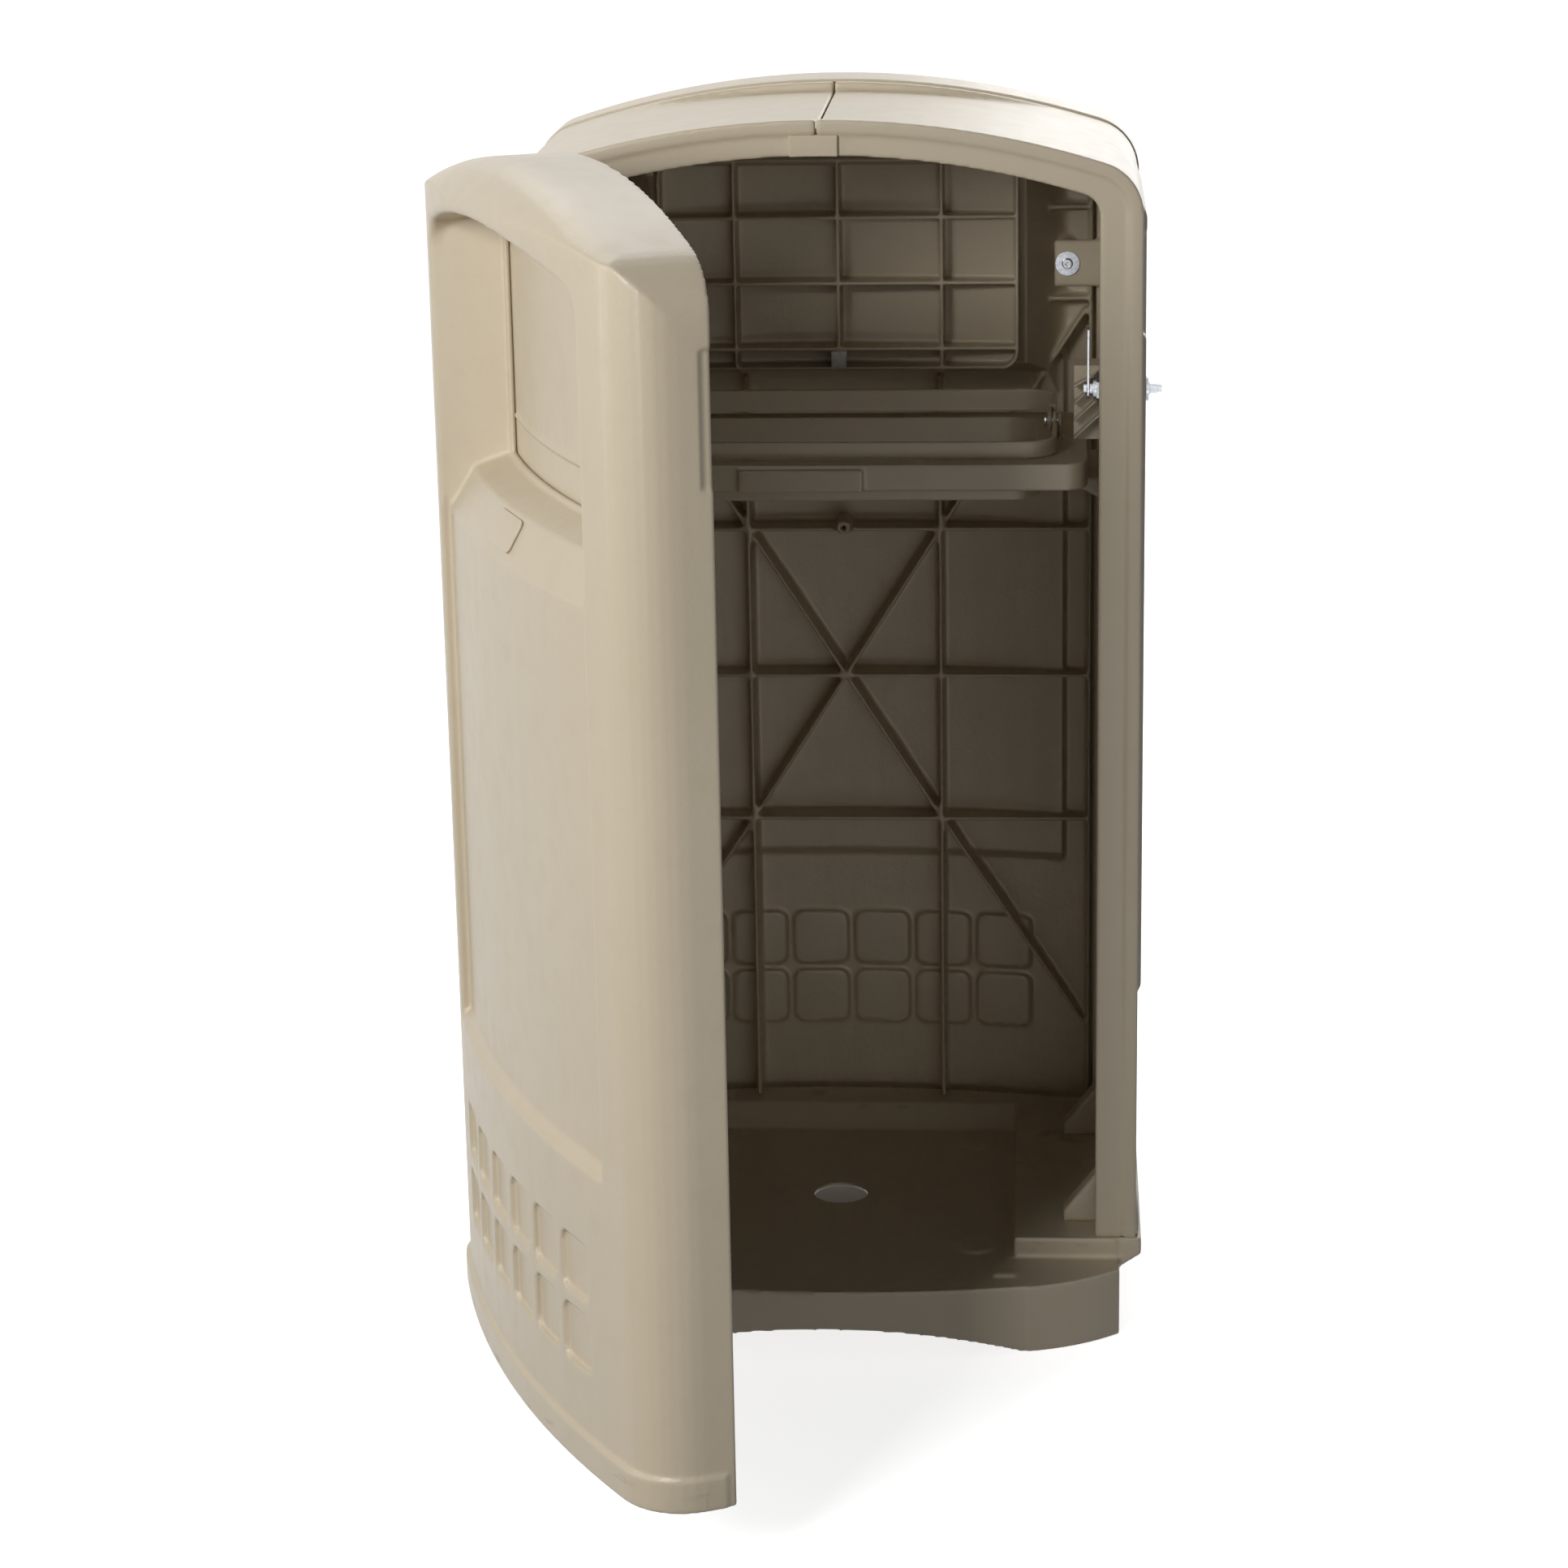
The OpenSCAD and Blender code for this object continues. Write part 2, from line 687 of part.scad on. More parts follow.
// Raised ledges round the pan that the side panels and the rear panel stand on
module side_ledges(flange_x) {
    side = half_w - skirt_inset;
    difference() {
        union() {
            translate([0, 0, pan_h - wall]) linear_extrude(ledge_h + wall)
                polygon(concat(base_pts(3), [[-side, -ledge_front], [side, -ledge_front]]));
            for (m = [0, 1])
                mirror([m, 0, 0])
                    slab([[side - 4, pan_h - 14], [flange_x, pan_h + 4], [flange_x, ledge_z],
                        [side - 4, ledge_z]], -half_d, half_d);
        }
        rotate([90, 0, 90]) translate([0, 0, -pan_half]) linear_extrude(2 * pan_half)
            polygon([[-wide_y, pan_h], [half_d + 12, pan_h], [half_d + 40, ledge_z + 1],
                [-wide_y, ledge_z + 1]]);
    }
}

module rear_panel() color(beige) grounded() difference() {
    at_rear() difference() {
        union() {
            bulged_panel();
            for (s = [-1, 1])
                along_y(-fix_depth(), half_d - fix_y - wall, 9, s * fix_x, fix_z);
            along_y(-rib_plane - 30, 10 - rib_plane, 7, 0, rib_boss_z);
        }
        for (s = [-1, 1])
            along_y(-30, 70, screw_r, s * fix_x, fix_z);
        along_y(-rib_plane - 8, 0, screw_r, 0, rib_boss_z);
    }
    translate([0, 0, pan_h]) linear_extrude(ledge_h + 1)
        polygon(concat(base_pts(2), [[-half_w, 0], [half_w, 0]]));
}

// Depth to which the rear panel's screw bosses reach into its skin
function fix_depth() = panel_bulge - fix_x * fix_x / (2 * panel_r) - wall / 2;

module rear_washers() color(zinc) grounded()
    for (s = [-1, 1])
        translate([s * fix_x, fix_y - washer_t, fix_z]) rotate([-90, 0, 0])
            difference() {
                cylinder(r = washer_r, h = washer_t);
                translate([0, 0, -1]) cylinder(r = screw_r + 0.3, h = washer_t + 2);
            }

module rear_screws() color(zinc) grounded()
    for (s = [-1, 1])
        translate([s * fix_x, fix_y - washer_t, fix_z]) rotate([-90, 0, 0])
            difference() {
                union() {
                    translate([0, 0, -3]) cylinder(r1 = 4, r2 = 5, h = 3);
                    cylinder(r = screw_r, h = 38);
                }
                for (a = [0, 90])
                    rotate([0, 0, a]) translate([-2.5, -0.6, -4]) cube([5, 1.2, 2.5]);
            }

module rear_flap() color(beige) grounded() at_rear() flap_body();

module rear_flap_rod() color(zinc) grounded() at_rear() flap_rod();

module rear_flap_tab() color("white") grounded() at_rear() flap_tab();

module bag_frame() color(beige) grounded() {
    skirt_x = bag_open_half + 2 + wall;
    skirt_y = bag_open_y + 2 + wall;
    under = bag_z - bag_frame_t;
    difference() {
        union() {
            translate([0, 0, under]) linear_extrude(bag_frame_t)
                polygon(round_rect(bag_half, bag_front, 22));
            translate([0, 0, under - 12]) linear_extrude(13) polygon(round_rect(skirt_x, skirt_y, 30));
            translate([-72, -bag_front - 4, under]) cube([106, 10, bag_frame_t - 4]);
            for (s = [-1, 1])
                pivot_ear(s);
        }
        translate([0, 0, under - 13]) linear_extrude(bag_frame_t + 20)
            polygon(round_rect(bag_open_half, bag_open_y, 26));
        difference() {
            translate([0, 0, under - 1]) linear_extrude(bag_frame_t - wall + 1)
                polygon(round_rect(bag_half - wall, bag_front - wall, 19));
            translate([0, 0, under - 2]) linear_extrude(bag_frame_t + 2)
                polygon(round_rect(skirt_x, skirt_y, 30));
        }
    }
}

// Post on the bag frame that holds one ring pin
module pivot_ear(s) {
    difference() {
        translate([s * (ear_x + 2) - 2, -9, bag_z - 1]) cube([4, 18, ring_pivot_z - bag_z + 9]);
        along_x(s * ear_x - 10, s * ear_x + 10, ring_pin_r, 0, ring_pivot_z);
    }
}

// Half of the ring's band, from the pivot's side out to y = ring_y
module ring_band(h, y0) {
    difference() {
        linear_extrude(h) polygon(round_rect(ring_half, ring_y, 32));
        translate([0, 0, -1]) linear_extrude(h + 2)
            polygon(round_rect(ring_half - ring_t, ring_y - ring_t, 28));
        translate([-wide_y, y0 - 2 * wide_y, -1]) cube([2 * wide_y, 2 * wide_y, h + 2]);
    }
}

module ring_eye(x) along_x(x, x + ring_t, ring_eye_r, 0, ring_pivot_z);

module ring_bore() along_x(-wide_y, wide_y, ring_pin_r + run_clear, 0, ring_pivot_z);

module bag_ring_front() color(beige) grounded()
    difference() {
        union() {
            mirror([0, 1, 0]) translate([0, 0, ring_z]) ring_band(ring_h, 0);
            ring_eye(ring_half - ring_t);
            ring_eye(-ring_half);
        }
        ring_bore();
    }

module bag_ring_rear() color(beige) grounded() {
    inner = ring_half - 2 * ring_t - free_gap;
    low = ring_z + 4;
    difference() {
        union() {
            translate([0, 0, low]) ring_band(20, 26);
            ring_eye(inner);
            ring_eye(-inner - ring_t);
            for (s = [-1, 1]) {
                translate([s * (inner + ring_t / 2) - ring_t / 2, 0, low]) cube([ring_t, 28, 18]);
                translate([s > 0 ? inner : -ring_half, 24, low]) cube([ring_half - inner, ring_t, 20]);
            }
        }
        ring_bore();
    }
}

module bag_ring_pins() color(zinc) grounded()
    for (s = [-1, 1])
        translate([s * (ring_half - ring_t - free_gap / 2), 0, ring_pivot_z]) rotate([0, s * 90, 0]) {
            translate([0, 0, -ring_t - 1]) cylinder(r = ring_pin_r, h = 3 * ring_t + 2);
            translate([0, 0, -ring_t - 3]) cylinder(r = ring_pin_r + 2, h = 2);
        }

// Slatted block above the bag frame, on the side panel
module guide_block(inner_x) {
    y0 = lock_y + cam_w / 2 + 8;
    z0 = bag_z + 13;
    z1 = lock_z + 14;
    outer = half_w - wall;
    rise = 26;
    translate([inner_x, y0 + 14, z0]) cube([outer - inner_x, 32, z1 - z0]);
    for (k = [0:3]) {
        z = z0 + 2 + 15 * k;
        end = min(z + rise, z1 - 2);
        slab([[inner_x, z], [inner_x, z + 2], [inner_x + 28, end + 2], [inner_x + 28, end]],
            y0 + 0.5, y0 + 14.5);
    }
    translate([outer - 6, y0 + 4, z0]) cube([6, 30, z1 - z0]);
}

module guide_block_right() color(beige) grounded() guide_block(frame_half - 21);

module guide_block_left() color(beige) grounded() mirror([1, 0, 0]) guide_block(frame_half - 21);

module lock_body() color(zinc) grounded()
    difference() {
        union() {
            lock_axis(cam_x + 4, face_x, lock_r);
            lock_axis(face_x, face_x + 2.5, lock_r + 1.5);
        }
        lock_axis(cam_x, face_x + 5, 6 + run_clear);
    }

module lock_nut() color(zinc) grounded()
    translate([cam_x + 7, lock_y, lock_z]) rotate([0, 90, 0])
        difference() {
            cylinder(r = lock_r + 4, h = 5, $fn = 6);
            translate([0, 0, -1]) cylinder(r = lock_r, h = 8);
        }

module lock_plug() color(zinc) grounded() lock_axis(cam_x + cam_t / 2, face_x + 3.5, 6);

// Hooked cam, upright when unlocked
module lock_cam() color(zinc) grounded()
    translate([cam_x - cam_t / 2, lock_y, lock_z]) rotate([0, 90, 0])
        difference() {
            union() {
                cylinder(r = cam_w / 2 + 1.5, h = cam_t);
                translate([-cam_len, -cam_w / 2, 0]) cube([cam_len, cam_w, cam_t]);
                translate([-cam_len, -cam_w / 2 - hook_d, 0]) cube([6, hook_d + 1, cam_t]);
            }
            translate([0, 0, -1]) cylinder(r = screw_r + run_clear, h = cam_t + 2);
        }

module lock_cam_screw() color(zinc) grounded() {
    lock_axis(cam_x - cam_t / 2 - 3, cam_x - cam_t / 2, 5);
    lock_axis(cam_x - cam_t / 2 - 1, cam_x + cam_t / 2, screw_r);
}

module lock_key() color(zinc) grounded() {
    x0 = face_x + 3.5;
    translate([x0, lock_y - 4, lock_z - 4]) cube([6, 8, 8]);
    translate([x0 + 6, lock_y - 3.2, lock_z - 3.2]) cube([4, 6.4, 6.4]);
}

// Door-side knuckle, joined to the door's side wall
module door_knuckle(zc) {
    translate([hinge_x, hinge_y, zc - knuckle_h / 2]) {
        cylinder(r = knuckle_r, h = knuckle_h);
        translate([-knuckle_r, -knuckle_r - 3, 0]) cube([knuckle_r, knuckle_r + 3, knuckle_h]);
    }
}

module door_shell() color(beige) grounded() opened() {
    difference() {
        union() {
            difference() {
                at_front() bulged_panel();
                for (z = [hinge_low_z, hinge_high_z], low = [-1.5 * knuckle_h - pin_room, knuckle_h / 2])
                    translate([-panel_half - 10, door_y - 16, z + low])
                        cube([10 + 2 * knuckle_r + 2, 17, knuckle_h + pin_room]);
                finger_notch();
            }
            for (z = [hinge_low_z, hinge_high_z])
                door_knuckle(z);
            strike_boss();
        }
        for (z = [hinge_low_z, hinge_high_z])
            translate([hinge_x, hinge_y, z - knuckle_h])
                cylinder(r = pin_r + run_clear, h = 2 * knuckle_h);
        for (s = [-1, 1])
            strike_hole(s, screw_r);
    }
}

// Grip cut into the back edge of the door's free side
module finger_notch() translate([panel_half - 2.5, door_y - 9, body_h - 205]) cube([10, 20, 104]);

// Pad inside the door that the strike is screwed to
module strike_boss() {
    intersection() {
        translate([cam_x - 17, door_y - 120, strike_z - 30]) cube([38, 102, 60]);
        at_front() panel_mass(wall / 2);
    }
}

module strike_hole(s, r) along_y(door_y - 32, door_y + 8, r, cam_x, strike_z + 19 * s);

// Keeper with two ears; its pin is what the lock's cam hooks
module door_strike() color(zinc) grounded() opened() {
    plate_y = door_y - 18;
    difference() {
        union() {
            translate([cam_x - 12, plate_y, strike_z - 26]) cube([19, 2.5, 52]);
            for (s = [-1, 1])
                translate([cam_x + s * strike_gap - 1, plate_y, strike_z - 7])
                    cube([2, strike_y + 5 - plate_y, 12]);
        }
        for (s = [-1, 1])
            strike_hole(s, screw_r + 0.2);
        along_x(cam_x - 20, cam_x + 20, strike_pin_r, strike_y, strike_z);
    }
}

module strike_pin() color(zinc) grounded() opened()
    along_x(cam_x - strike_gap - 1, cam_x + strike_gap + 1, strike_pin_r, strike_y, strike_z);

module strike_screws() color(zinc) grounded() opened()
    for (s = [-1, 1])
        translate([cam_x, door_y - 15.5, strike_z + 19 * s]) rotate([90, 0, 0]) {
            cylinder(r = screw_r, h = 15);
            translate([0, 0, -2]) cylinder(r = 4, h = 2);
        }

module door_flap() color(beige) grounded() opened() at_front() flap_body();

module door_flap_rod() color(zinc) grounded() opened() at_front() flap_rod();

module door_flap_tab() color("white") grounded() opened() at_front() flap_tab();

module hinge_pin(zc) {
    top = zc + 1.5 * knuckle_h + knuckle_gap;
    translate([hinge_x, hinge_y, top - 3 * knuckle_h - 4]) cylinder(r = pin_r, h = 3 * knuckle_h + 4);
    translate([hinge_x, hinge_y, top]) cylinder(r = knuckle_r - 0.5, h = 2);
}

module hinge_pin_upper() color(zinc) grounded() hinge_pin(hinge_high_z);

module hinge_pin_lower() color(zinc) grounded() hinge_pin(hinge_low_z);

base();
side_panel_left();
side_panel_right();
roof_clip_front();
roof_clip_rear();
rear_panel();
rear_washers();
rear_screws();
rear_flap();
rear_flap_rod();
rear_flap_tab();
bag_frame();
bag_ring_front();
bag_ring_rear();
bag_ring_pins();
guide_block_left();
guide_block_right();
lock_body();
lock_nut();
lock_plug();
lock_cam();
lock_cam_screw();
lock_key();
door_shell();
door_flap();
door_flap_rod();
door_flap_tab();
door_strike();
strike_pin();
strike_screws();
hinge_pin_upper();
hinge_pin_lower();
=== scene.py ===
"""Finished looks of an outdoor litter container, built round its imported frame."""

import json
import logging
import math
from dataclasses import dataclass, field
from enum import Enum
from typing import Callable, Iterable

import bmesh
import bpy
import numpy as np
from mathutils import Euler, Matrix, Vector

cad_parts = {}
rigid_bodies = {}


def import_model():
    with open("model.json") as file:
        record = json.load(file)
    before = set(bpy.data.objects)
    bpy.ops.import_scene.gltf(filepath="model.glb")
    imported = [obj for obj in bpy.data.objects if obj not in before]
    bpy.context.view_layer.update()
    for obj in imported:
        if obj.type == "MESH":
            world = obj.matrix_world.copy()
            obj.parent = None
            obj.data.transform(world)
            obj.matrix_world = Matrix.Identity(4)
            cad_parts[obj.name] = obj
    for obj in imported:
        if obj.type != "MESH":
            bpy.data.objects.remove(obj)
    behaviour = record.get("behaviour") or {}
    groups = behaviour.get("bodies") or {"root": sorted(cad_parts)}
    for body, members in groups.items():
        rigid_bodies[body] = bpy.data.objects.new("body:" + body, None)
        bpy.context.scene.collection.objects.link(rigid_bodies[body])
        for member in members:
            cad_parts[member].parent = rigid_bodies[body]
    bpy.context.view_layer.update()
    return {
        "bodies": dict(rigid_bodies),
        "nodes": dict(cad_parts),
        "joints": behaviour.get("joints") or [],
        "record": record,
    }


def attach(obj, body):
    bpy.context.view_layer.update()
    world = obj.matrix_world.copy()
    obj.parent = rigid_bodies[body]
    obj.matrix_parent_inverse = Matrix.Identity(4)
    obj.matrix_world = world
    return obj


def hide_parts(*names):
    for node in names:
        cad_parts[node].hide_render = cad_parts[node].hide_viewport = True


LOG = logging.getLogger("litter_container")
MM = 0.001
# Places in metres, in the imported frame: its origin is the drain hole's centre on the pan's floor.
GROUND_Z = -0.062
HINGE_LINE = (-0.266, -0.1565, 0.0)
DOOR_BACK_Y = -0.150
REAR_BACK_Y = 0.147
# Degrees that the door stands open at rest.
DOOR_OPEN = 66.5
# Radius of both bulged panels' outer faces.
PANEL_RADIUS = 1.087
# Corners that are closer than this are one corner.
MERGE_DISTANCE = 0.02 * MM
# How far one pass of smoothing moves a point towards its neighbours.
SMOOTH_FACTOR = 0.5
Point = tuple[float, float, float]
Colour = tuple[float, float, float, float]


class Slot(Enum):
    """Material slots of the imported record."""

    PLASTIC = "moulded_plastic"
    ZINC = "zinc_steel"
    TAB = "clear_tab"


class Body(Enum):
    """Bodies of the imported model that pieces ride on."""

    MAIN = "body"
    DOOR = "door"
    DOOR_FLAP = "door_flap"
    REAR_FLAP = "rear_flap"
    RING_FRONT = "ring_front"
    RING_REAR = "ring_rear"
    LOCK = "lock_rotor"


# ---------------------------------------------------------------- shader maths


class Signal:
    """A shader socket that takes part in Python arithmetic."""

    def __init__(self, sheet: "Sheet", socket: bpy.types.NodeSocket) -> None:
        """Wraps one output socket of a sheet."""
        self.sheet = sheet
        self.socket = socket

    def _math(self, operation: str, first: object, second: object) -> "Signal":
        """Adds one Math node.

        Args:
            operation: The node's operation.
            first: The first operand, a signal or a number.
            second: The second operand, a signal or a number.

        Returns:
            The node's result.
        """
        return self.sheet.node("ShaderNodeMath", {"operation": operation}, {0: first, 1: second})

    def __add__(self, other: object) -> "Signal":
        """Returns self + other."""
        return self._math("ADD", self, other)

    def __radd__(self, other: object) -> "Signal":
        """Returns other + self."""
        return self._math("ADD", other, self)

    def __rsub__(self, other: object) -> "Signal":
        """Returns other - self."""
        return self._math("SUBTRACT", other, self)

    def __mul__(self, other: object) -> "Signal":
        """Returns self * other."""
        return self._math("MULTIPLY", self, other)

    def stepped(self, low: float, high: float) -> "Signal":
        """Maps the signal smoothly to 0 below low and 1 above high.

        Args:
            low: Value that becomes 0.
            high: Value that becomes 1.

        Returns:
            The mapped signal.
        """
        settings = {"interpolation_type": "SMOOTHSTEP", "clamp": True}
        inputs = {"Value": self, "From Min": low, "From Max": high}
        return self.sheet.node("ShaderNodeMapRange", settings, inputs)


class Sheet:
    """The node sheet of one material."""

    # Sockets of the Mix node that carry colours: the two inputs and the output.
    MIX_FIRST = 6
    MIX_SECOND = 7
    MIX_COLOUR = 2

    def __init__(self, name: str) -> None:
        """Starts an empty material of that name."""
        self.material = bpy.data.materials.new(name)
        self.material.use_nodes = True
        self.tree = self.material.node_tree
        self.tree.nodes.clear()
        self.place = self.node("ShaderNodeTexCoord", {}, {}, "Object")

    def node(self, kind: str, settings: dict, inputs: dict, output: object = 0) -> Signal:
        """Adds one node.

        Args:
            kind: The node's type.
            settings: Properties that are set before its sockets.
            inputs: Values or signals by socket name or index.
            output: Name or index of the socket to return.

        Returns:
            The chosen output.
        """
        made = self.tree.nodes.new(kind)
        for key, value in settings.items():
            setattr(made, key, value)
        for key, value in inputs.items():
            if isinstance(value, Signal):
                self.tree.links.new(value.socket, made.inputs[key])
            else:
                made.inputs[key].default_value = value
        return Signal(self, made.outputs[output])

    def noise(self, scale: float, detail: float = 3.0, where: Signal | None = None) -> Signal:
        """Adds a noise texture.

        Args:
            scale: Its features per metre.
            detail: Its number of finer layers.
            where: Coordinates that it reads, or None for the object's own.

        Returns:
            The noise, from 0 to 1.
        """
        inputs = {"Vector": where or self.place, "Scale": scale, "Detail": detail}
        return self.node("ShaderNodeTexNoise", {}, inputs)

    def blend(self, share: Signal, first: object, second: object) -> Signal:
        """Mixes two colours.

        Args:
            share: How much of the second colour shows.
            first: Colour where share is 0.
            second: Colour where share is 1.

        Returns:
            The mixed colour.
        """
        settings = {"data_type": "RGBA", "clamp_factor": True}
        inputs = {0: share, self.MIX_FIRST: first, self.MIX_SECOND: second}
        return self.node("ShaderNodeMix", settings, inputs, self.MIX_COLOUR)

    def height(self) -> Signal:
        """Returns the height above the pan's floor, in metres."""
        return self.node("ShaderNodeSeparateXYZ", {}, {"Vector": self.place}, "Z")

    def distance(self, centre: Point) -> Signal:
        """Measures the level distance from a point.

        Args:
            centre: The point, at height 0.

        Returns:
            The distance in metres.
        """
        inputs = {0: self.stretched((1.0, 1.0, 0.0)), 1: centre}
        return self.node("ShaderNodeVectorMath", {"operation": "DISTANCE"}, inputs, "Value")

    def stretched(self, factors: Point) -> Signal:
        """Returns the object coordinates scaled along each axis."""
        return self.node("ShaderNodeMapping", {}, {"Vector": self.place, "Scale": factors})

    def finish(self, inputs: dict, relief: Signal, depth: float) -> bpy.types.Material:
        """Closes the sheet with a principled surface.

        Args:
            inputs: Values or signals of the surface's sockets.
            relief: Height signal of the surface's texture.
            depth: Height of the texture in metres.

        Returns:
            The finished material.
        """
        height = {"Strength": 1.0, "Distance": depth, "Height": relief}
        bump = self.node("ShaderNodeBump", {}, height, "Normal")
        surface = self.node("ShaderNodeBsdfPrincipled", {}, {**inputs, "Normal": bump}, "BSDF")
        self.node_out(surface)
        return self.material

    def node_out(self, surface: Signal) -> None:
        """Joins the surface to the material's output."""
        out = self.tree.nodes.new("ShaderNodeOutputMaterial")
        self.tree.links.new(surface.socket, out.inputs["Surface"])


def rgb(red: float, green: float, blue: float) -> Colour:
    """Returns a linear colour with full alpha."""
    return (red, green, blue, 1.0)


@dataclass(frozen=True)
class MouldedPlastic:
    """Fine-grained beige structural plastic: scales are per metre, heights and depths in metres."""

    name: str
    base: Colour = rgb(0.560, 0.476, 0.345)
    pale: Colour = rgb(0.585, 0.500, 0.366)
    dull: Colour = rgb(0.520, 0.436, 0.308)
    scuffed: Colour = rgb(0.270, 0.205, 0.125)
    flow_scale: float = 3.2
    mottle_scale: float = 42.0
    mottle_share: float = 0.35
    grain_scale: float = 1100.0
    peel_scale: float = 160.0
    relief_depth: float = 0.16 * MM
    sheen: float = 0.27
    scuff_scale: float = 26.0
    scuff_length: float = 5.0
    scuff_starts: tuple[float, float] = (2.0 * MM, 6.0 * MM)
    scuff_ends: tuple[float, float] = (18.0 * MM, 30.0 * MM)
    scuff_patches: tuple[float, float] = (0.58, 0.74)
    scuff_share: float = 0.4

    def material(self) -> bpy.types.Material:
        """Returns the plastic with its flow marks, grain and scuffed bumpers."""
        sheet = Sheet(self.name)
        flow = sheet.noise(self.flow_scale, 2.0)
        mottle = sheet.noise(self.mottle_scale, 4.0)
        grain = sheet.noise(self.grain_scale, 2.0)
        orange_peel = sheet.noise(self.peel_scale, 1.0)
        scuff = self._scuffs(sheet)
        colour = sheet.blend(flow.stepped(0.3, 0.7), self.base, self.pale)
        colour = sheet.blend(mottle.stepped(0.45, 0.85) * self.mottle_share, colour, self.dull)
        colour = sheet.blend(scuff, colour, self.scuffed)
        roughness = self.sheen + mottle * 0.14 + grain * 0.08 + scuff * 0.2
        relief = grain * 0.75 + orange_peel * 0.8
        return sheet.finish({"Base Color": colour, "Roughness": roughness}, relief, self.relief_depth)

    def _scuffs(self, sheet: Sheet) -> Signal:
        """Returns how scuffed the plastic is, in a band at the bumpers' height."""
        streaks = sheet.noise(self.scuff_scale, 5.0, sheet.stretched((1.0, 1.0, self.scuff_length)))
        above = sheet.height().stepped(*self.scuff_starts)
        below = 1.0 - sheet.height().stepped(*self.scuff_ends)
        return above * below * streaks.stepped(*self.scuff_patches) * self.scuff_share


@dataclass(frozen=True)
class ZincPlate:
    """Bright zinc plate on steel: scales are per metre, depths in metres."""

    name: str
    bright: Colour = rgb(0.66, 0.68, 0.71)
    passivated: Colour = rgb(0.50, 0.53, 0.57)
    spangle_scale: float = 420.0
    scratch_scale: float = 900.0
    scratch_length: float = 0.08
    relief_depth: float = 0.03 * MM
    sheen: float = 0.20

    def material(self) -> bpy.types.Material:
        """Returns the plate with its spangle and fine scratches."""
        sheet = Sheet(self.name)
        spangle = sheet.noise(self.spangle_scale, 3.0)
        upright = sheet.stretched((1.0, 1.0, self.scratch_length))
        scratches = sheet.noise(self.scratch_scale, 2.0, upright)
        colour = sheet.blend(spangle.stepped(0.35, 0.7), self.bright, self.passivated)
        roughness = self.sheen + spangle * 0.18 + scratches * 0.08
        relief = scratches + spangle * 0.4
        surface = {"Base Color": colour, "Roughness": roughness, "Metallic": 1.0}
        return sheet.finish(surface, relief, self.relief_depth)


@dataclass(frozen=True)
class ClearBumper:
    """Milky clear rubber of the flaps' small bumpers: scales are per metre, depths in metres."""

    name: str
    milky: Colour = rgb(0.80, 0.82, 0.84)
    clouded: Colour = rgb(0.66, 0.68, 0.70)
    cloud_scale: float = 260.0
    relief_depth: float = 0.06 * MM
    sheen: float = 0.28

    def material(self) -> bpy.types.Material:
        """Returns the rubber with its faint clouds."""
        sheet = Sheet(self.name)
        cloud = sheet.noise(self.cloud_scale, 3.0)
        colour = sheet.blend(cloud.stepped(0.35, 0.75), self.milky, self.clouded)
        surface = {"Base Color": colour, "Roughness": self.sheen + cloud * 0.15}
        return sheet.finish(surface, cloud, self.relief_depth)


@dataclass
class Finishes:
    """The materials of the whole object, made once."""

    made: dict[Slot, bpy.types.Material] = field(default_factory=dict)

    def __post_init__(self) -> None:
        """Makes one material for each slot."""
        self.made[Slot.PLASTIC] = MouldedPlastic("beige_moulding").material()
        self.made[Slot.ZINC] = ZincPlate("zinc_plate").material()
        self.made[Slot.TAB] = ClearBumper("clear_bumper").material()

    def dress(self, piece: bpy.types.Object, slot: Slot) -> None:
        """Gives a piece the material of a slot.

        Args:
            piece: The piece to dress.
            slot: The material slot it belongs to.
        """
        piece.data.materials.clear()
        piece.data.materials.append(self.made[slot])


# ---------------------------------------------------------------- mesh work


def new_piece(name: str, mesh: bmesh.types.BMesh) -> bpy.types.Object:
    """Makes an object from a bmesh and frees the bmesh.

    Args:
        name: The piece's name.
        mesh: Its shape, in the row frame.

    Returns:
        The linked object.
    """
    data = bpy.data.meshes.new(name)
    mesh.to_mesh(data)
    mesh.free()
    piece = bpy.data.objects.new(name, data)
    bpy.context.scene.collection.objects.link(piece)
    return piece


def softened(
    mesh: bmesh.types.BMesh,
    edges: Iterable[bmesh.types.BMEdge],
    radius: float,
    segments: int,
) -> None:
    """Rounds the given edges in place.

    Args:
        mesh: The shape to change.
        edges: Its edges that are rounded.
        radius: Width of the rounding in metres.
        segments: Number of faces across the rounding.
    """
    bmesh.ops.bevel(
        mesh,
        geom=list(edges),
        offset=radius,
        offset_type="OFFSET",
        segments=segments,
        profile=0.5,
        affect="EDGES",
        clamp_overlap=True,
        material=-1,
    )


def sharp_edges(mesh: bmesh.types.BMesh, angle: float) -> list[bmesh.types.BMEdge]:
    """Finds the sharp edges of a shape.

    Args:
        mesh: The shape to search.
        angle: Degrees that an edge's two faces turn by at least.

    Returns:
        The edges that turn more.
    """
    limit = math.radians(angle)
    return [e for e in mesh.edges if len(e.link_faces) == 2 and e.calc_face_angle(0.0) > limit]


def merged_copy(node: bpy.types.Object) -> bmesh.types.BMesh:
    """Copies a CAD node's mesh and joins its shared corners.

    Args:
        node: The imported CAD node.

    Returns:
        The copy, which the caller frees.
    """
    mesh = bmesh.new()
    mesh.from_mesh(node.data)
    bmesh.ops.remove_doubles(mesh, verts=mesh.verts, dist=MERGE_DISTANCE)
    bmesh.ops.dissolve_degenerate(mesh, dist=MERGE_DISTANCE, edges=mesh.edges)
    return mesh


